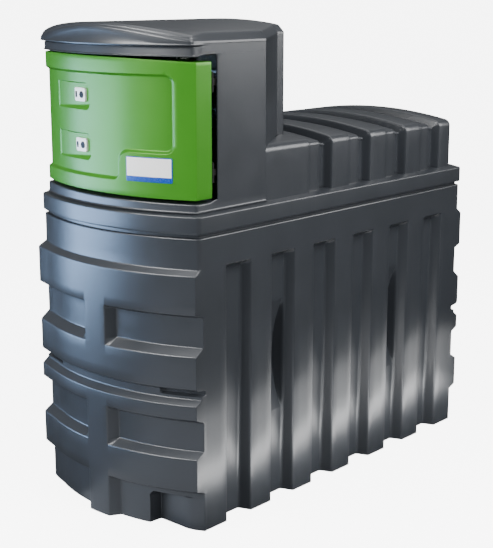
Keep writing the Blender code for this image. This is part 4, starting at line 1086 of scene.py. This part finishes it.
add_parts("filter_bowl_clear", [
    turned([(6, 1411.5), (18, 1412.5), (30, 1416), (37, 1422), (39.5, 1430), (40, 1440),
            (40.8, 1535), (42, 1537.5), (42, 1551), (41, 1554.7)], FILTER, UP, 96, flutes)],
    amber_bowl, "tank", "filter_bowl_plastic", "filter_bowl")

PUMP_X, PUMP_Z = -0.010, 1.520
PUMP = np.array((PUMP_X, -0.285, PUMP_Z))
add_parts("pump_casting", [
    block(55, 80, 20, [(6, 0), (1, 2), (0, 6), (0, 78), (1.5, 83.5), (6, 86)], PUMP, FRONT),
    turned([(45, 84), (45, 98), (43.5, 100.5), (40, 102), (20, 103), (18, 108.5), (16, 110)], PUMP,
           FRONT, 48),
    block(43, 68, 4, [(0, 0.4), (0, 36)], (PUMP_X, SEAT, PUMP_Z), FRONT)],
    painted_iron, "tank", "painted_iron", "pump_head")
add_parts("pump_cover_bolts", [
    nut(8.5, 101.5, 107, PUMP + 0.036 * np.array((math.cos(a), 0.0, math.sin(a))), FRONT)
    for a in np.linspace(0.3, 0.3 + 2 * math.pi, 7)[:-1]],
    plated_steel, "tank", "plated_steel", smooth_angle=30.0)


def fins(angle):
    """Twenty square fins round the motor."""
    return 0.885 + 0.115 * np.clip(3.0 * np.cos(20 * angle) + 0.6, 0.0, 1.0)


MOTOR = (0.0453, PIPE_Y, 1.520)
add_parts("pump_motor_finned", [
    turned([(44, 0), (50, 1.5), (51, 4), (51, 17), (49, 20)], MOTOR, RIGHT, 48),
    turned([(50, 19), (51.5, 20), (51.5, 121), (50, 122)], MOTOR, RIGHT, 240, fins),
    turned([(49, 121), (51, 123), (51.2, 140), (49, 147), (43, 149.7), (10, 150)], MOTOR, RIGHT,
           48),
    block(30, 21, 5, [(0, 45), (0, 72), (1.2, 74.5), (4, 75.5)], (0.110, PIPE_Y, 1.520), UP)],
    painted_iron, "tank", "painted_iron", "pump_motor")


# Meter, gauge, switch and holster
# Delivery ends in a flow meter with a dial and a hose tail; beside it are the contents gauge, the
# pump's switch and, on the right-hand wall, a holster for the nozzle.
LEFT = np.array([(0, -1, 0), (0, 0, 1), (-1, 0, 0)], float)
METER = np.array((0.155, -0.300, 1.660))
METER_DIAL = 0.0452
GAUGE = np.array((-0.200, SEAT, 1.685))
GAUGE_DIAL = 0.0342


def dial_material(name, centre, radius, marks):
    """White enamel dial: dark strokes at even angles in a ring near its edge, by the angle and the
    distance from its centre in the board's plane."""
    material, tree, shader = new_material(name)
    place = add_node(tree, "TexCoord").outputs["Object"]
    local = add_node(tree, "Mapping", {"vector_type": "TEXTURE"}, Vector=place,
                     Location=(centre[0], 0.0, centre[2]))
    axes = add_node(tree, "SeparateXYZ", Vector=local)
    angle = add_node(tree, "Math", {"operation": "ARCTAN2"}, input0=axes.outputs["Z"],
                     input1=axes.outputs["X"])
    flat = add_node(tree, "CombineXYZ", X=axes.outputs["X"], Z=axes.outputs["Z"])
    away = add_node(tree, "VectorMath", {"operation": "LENGTH"}, input0=flat)
    turns = add_node(tree, "Math", {"operation": "MULTIPLY"}, input0=angle,
                     input1=marks / (2 * math.pi))
    wave = add_node(tree, "Math", {"operation": "PINGPONG"}, input0=turns, input1=0.5)
    stroke = add_node(tree, "MapRange", Value=wave, From_Min=0.10, From_Max=0.13, To_Min=1.0,
                      To_Max=0.0)
    outside = add_node(tree, "MapRange", Value=away, From_Min=0.74 * radius,
                       From_Max=0.76 * radius)
    inside = add_node(tree, "MapRange", Value=away, From_Min=0.94 * radius, From_Max=0.92 * radius)
    ring = add_node(tree, "Math", {"operation": "MULTIPLY"}, input0=outside, input1=inside)
    mark = add_node(tree, "Math", {"operation": "MULTIPLY"}, input0=ring, input1=stroke)
    tint = add_node(tree, "Mix", {"data_type": "RGBA"}, input0=mark, input6=linear("#F3F3EE"),
                    input7=linear("#16181A"))
    feed(shader, Base_Color=tint, Roughness=0.25)
    return material


def add_dial(name, finish, centre, distance, radius, marks):
    """Thin enamel disc that faces the door, with its distance in millimetres."""
    size = 1000 * radius
    add_parts(name, [turned([(size, distance - 1), (size, distance)], centre, FRONT, 48)],
              dial_material(finish, centre, radius, marks), "tank", "white_plastic")


add_parts("flow_meter_drum", [
    turned([(46, 0), (53, 2), (55, 6), (55, 28), (53.5, 31), (51.5, 32), (51.5, 60), (53.5, 61),
            (55, 64), (55, 92), (53.5, 97.5), (50, 100), (46.5, 100), (45.5, 97.5), (45, 94)],
           METER, FRONT, 64),
    turned([(18.5, 0.4), (18.5, 50)], (METER[0], SEAT, METER[2]), FRONT, 24),
    turned([(18, -55.2), (18.5, -54), (18.5, -40)], (METER[0], PIPE_Y, METER[2]), RIGHT, 24),
    turned([(18.5, 40), (18.5, 54), (18, 55.2)], (METER[0], PIPE_Y, METER[2]), RIGHT, 24)],
    cast_aluminium, "tank", "cast_aluminium", "flow_meter")
add_dial("flow_meter_dial", "meter_dial_enamel", METER, 95, METER_DIAL, 20)
add_parts("flow_meter_counter", [
    block(24, 7.5, 2, [(0, 94.5), (0, 97.2), (0.8, 98)], METER + (0.0, 0.0, 0.012), FRONT),
    block(1.2, 16, 1, [(0, 94.5), (0, 96.5)], METER - (0.0, 0.0, 0.014), FRONT),
    turned([(5, 94.5), (5, 97.5), (4.2, 98.2)], METER, FRONT, 24)],
    black_nylon, "tank", "black_plastic")
add_parts("flow_meter_number_wheels", [
    block(3.4, 5, 0.8, [(0, 97), (0, 98.4)], METER + (offset, 0.0, 0.012), FRONT)
    for offset in (-0.0165, -0.0082, 0.0, 0.0082, 0.0165)], white_abs, "tank", "white_plastic")
add_parts("contents_gauge_bezel", [
    turned([(40, 0.4), (41.5, 2), (42, 5), (42, 24), (40.5, 28.5), (38, 30), (35.5, 30), (34.5, 28),
            (34, 24)], GAUGE, FRONT, 48),
    block(0.9, 13, 0.8, [(0, 24.5), (0, 26.2)], GAUGE + (0.0, 0.0, 0.011), FRONT),
    turned([(4.2, 24.5), (4.2, 27), (3.4, 27.6)], GAUGE, FRONT, 24)],
    black_nylon, "tank", "black_plastic", "contents_gauge")
add_dial("contents_gauge_dial", "gauge_dial_enamel", GAUGE, 25, GAUGE_DIAL, 16)

SWITCH = np.array((0.2375, SEAT, 1.480))
KNOB = SWITCH + (0.0, 0.0, 0.012)
add_parts("switch_housing", [
    block(32.5, 60, 6, [(0, 0.4), (0, 38), (1, 38.8), (1, 39.6), (0, 40.4), (0, 64), (1.4, 67.2),
                        (4.5, 68.4)], SWITCH, FRONT),
    turned([(20, 68), (20, 71.5), (18.8, 72.8), (15, 73)], KNOB, FRONT, 36),
    block(4.5, 15, 3, [(0, 72.5), (0, 82), (1.2, 83.5)], KNOB, FRONT)],
    black_nylon, "tank", "black_plastic", "switch_box")
add_parts("switch_lid_screws", [
    turned([(3.2, 67.5), (3.2, 69), (2, 69.8)], SWITCH + (x, 0.0, z), FRONT, 16)
    for x in (-0.024, 0.024) for z in (-0.050, 0.050)], plated_steel, "tank", "plated_steel")

finish_nodes(black_nylon, "nozzle_holster")
add_parts("holster_bolts", [
    nut(10, 0, 5, (0.3917, -0.590 + y, 1.500 + z), LEFT)
    for y in (-0.056, 0.056) for z in (-0.066, 0.066)],
    plated_steel, "tank", "plated_steel", smooth_angle=30.0)
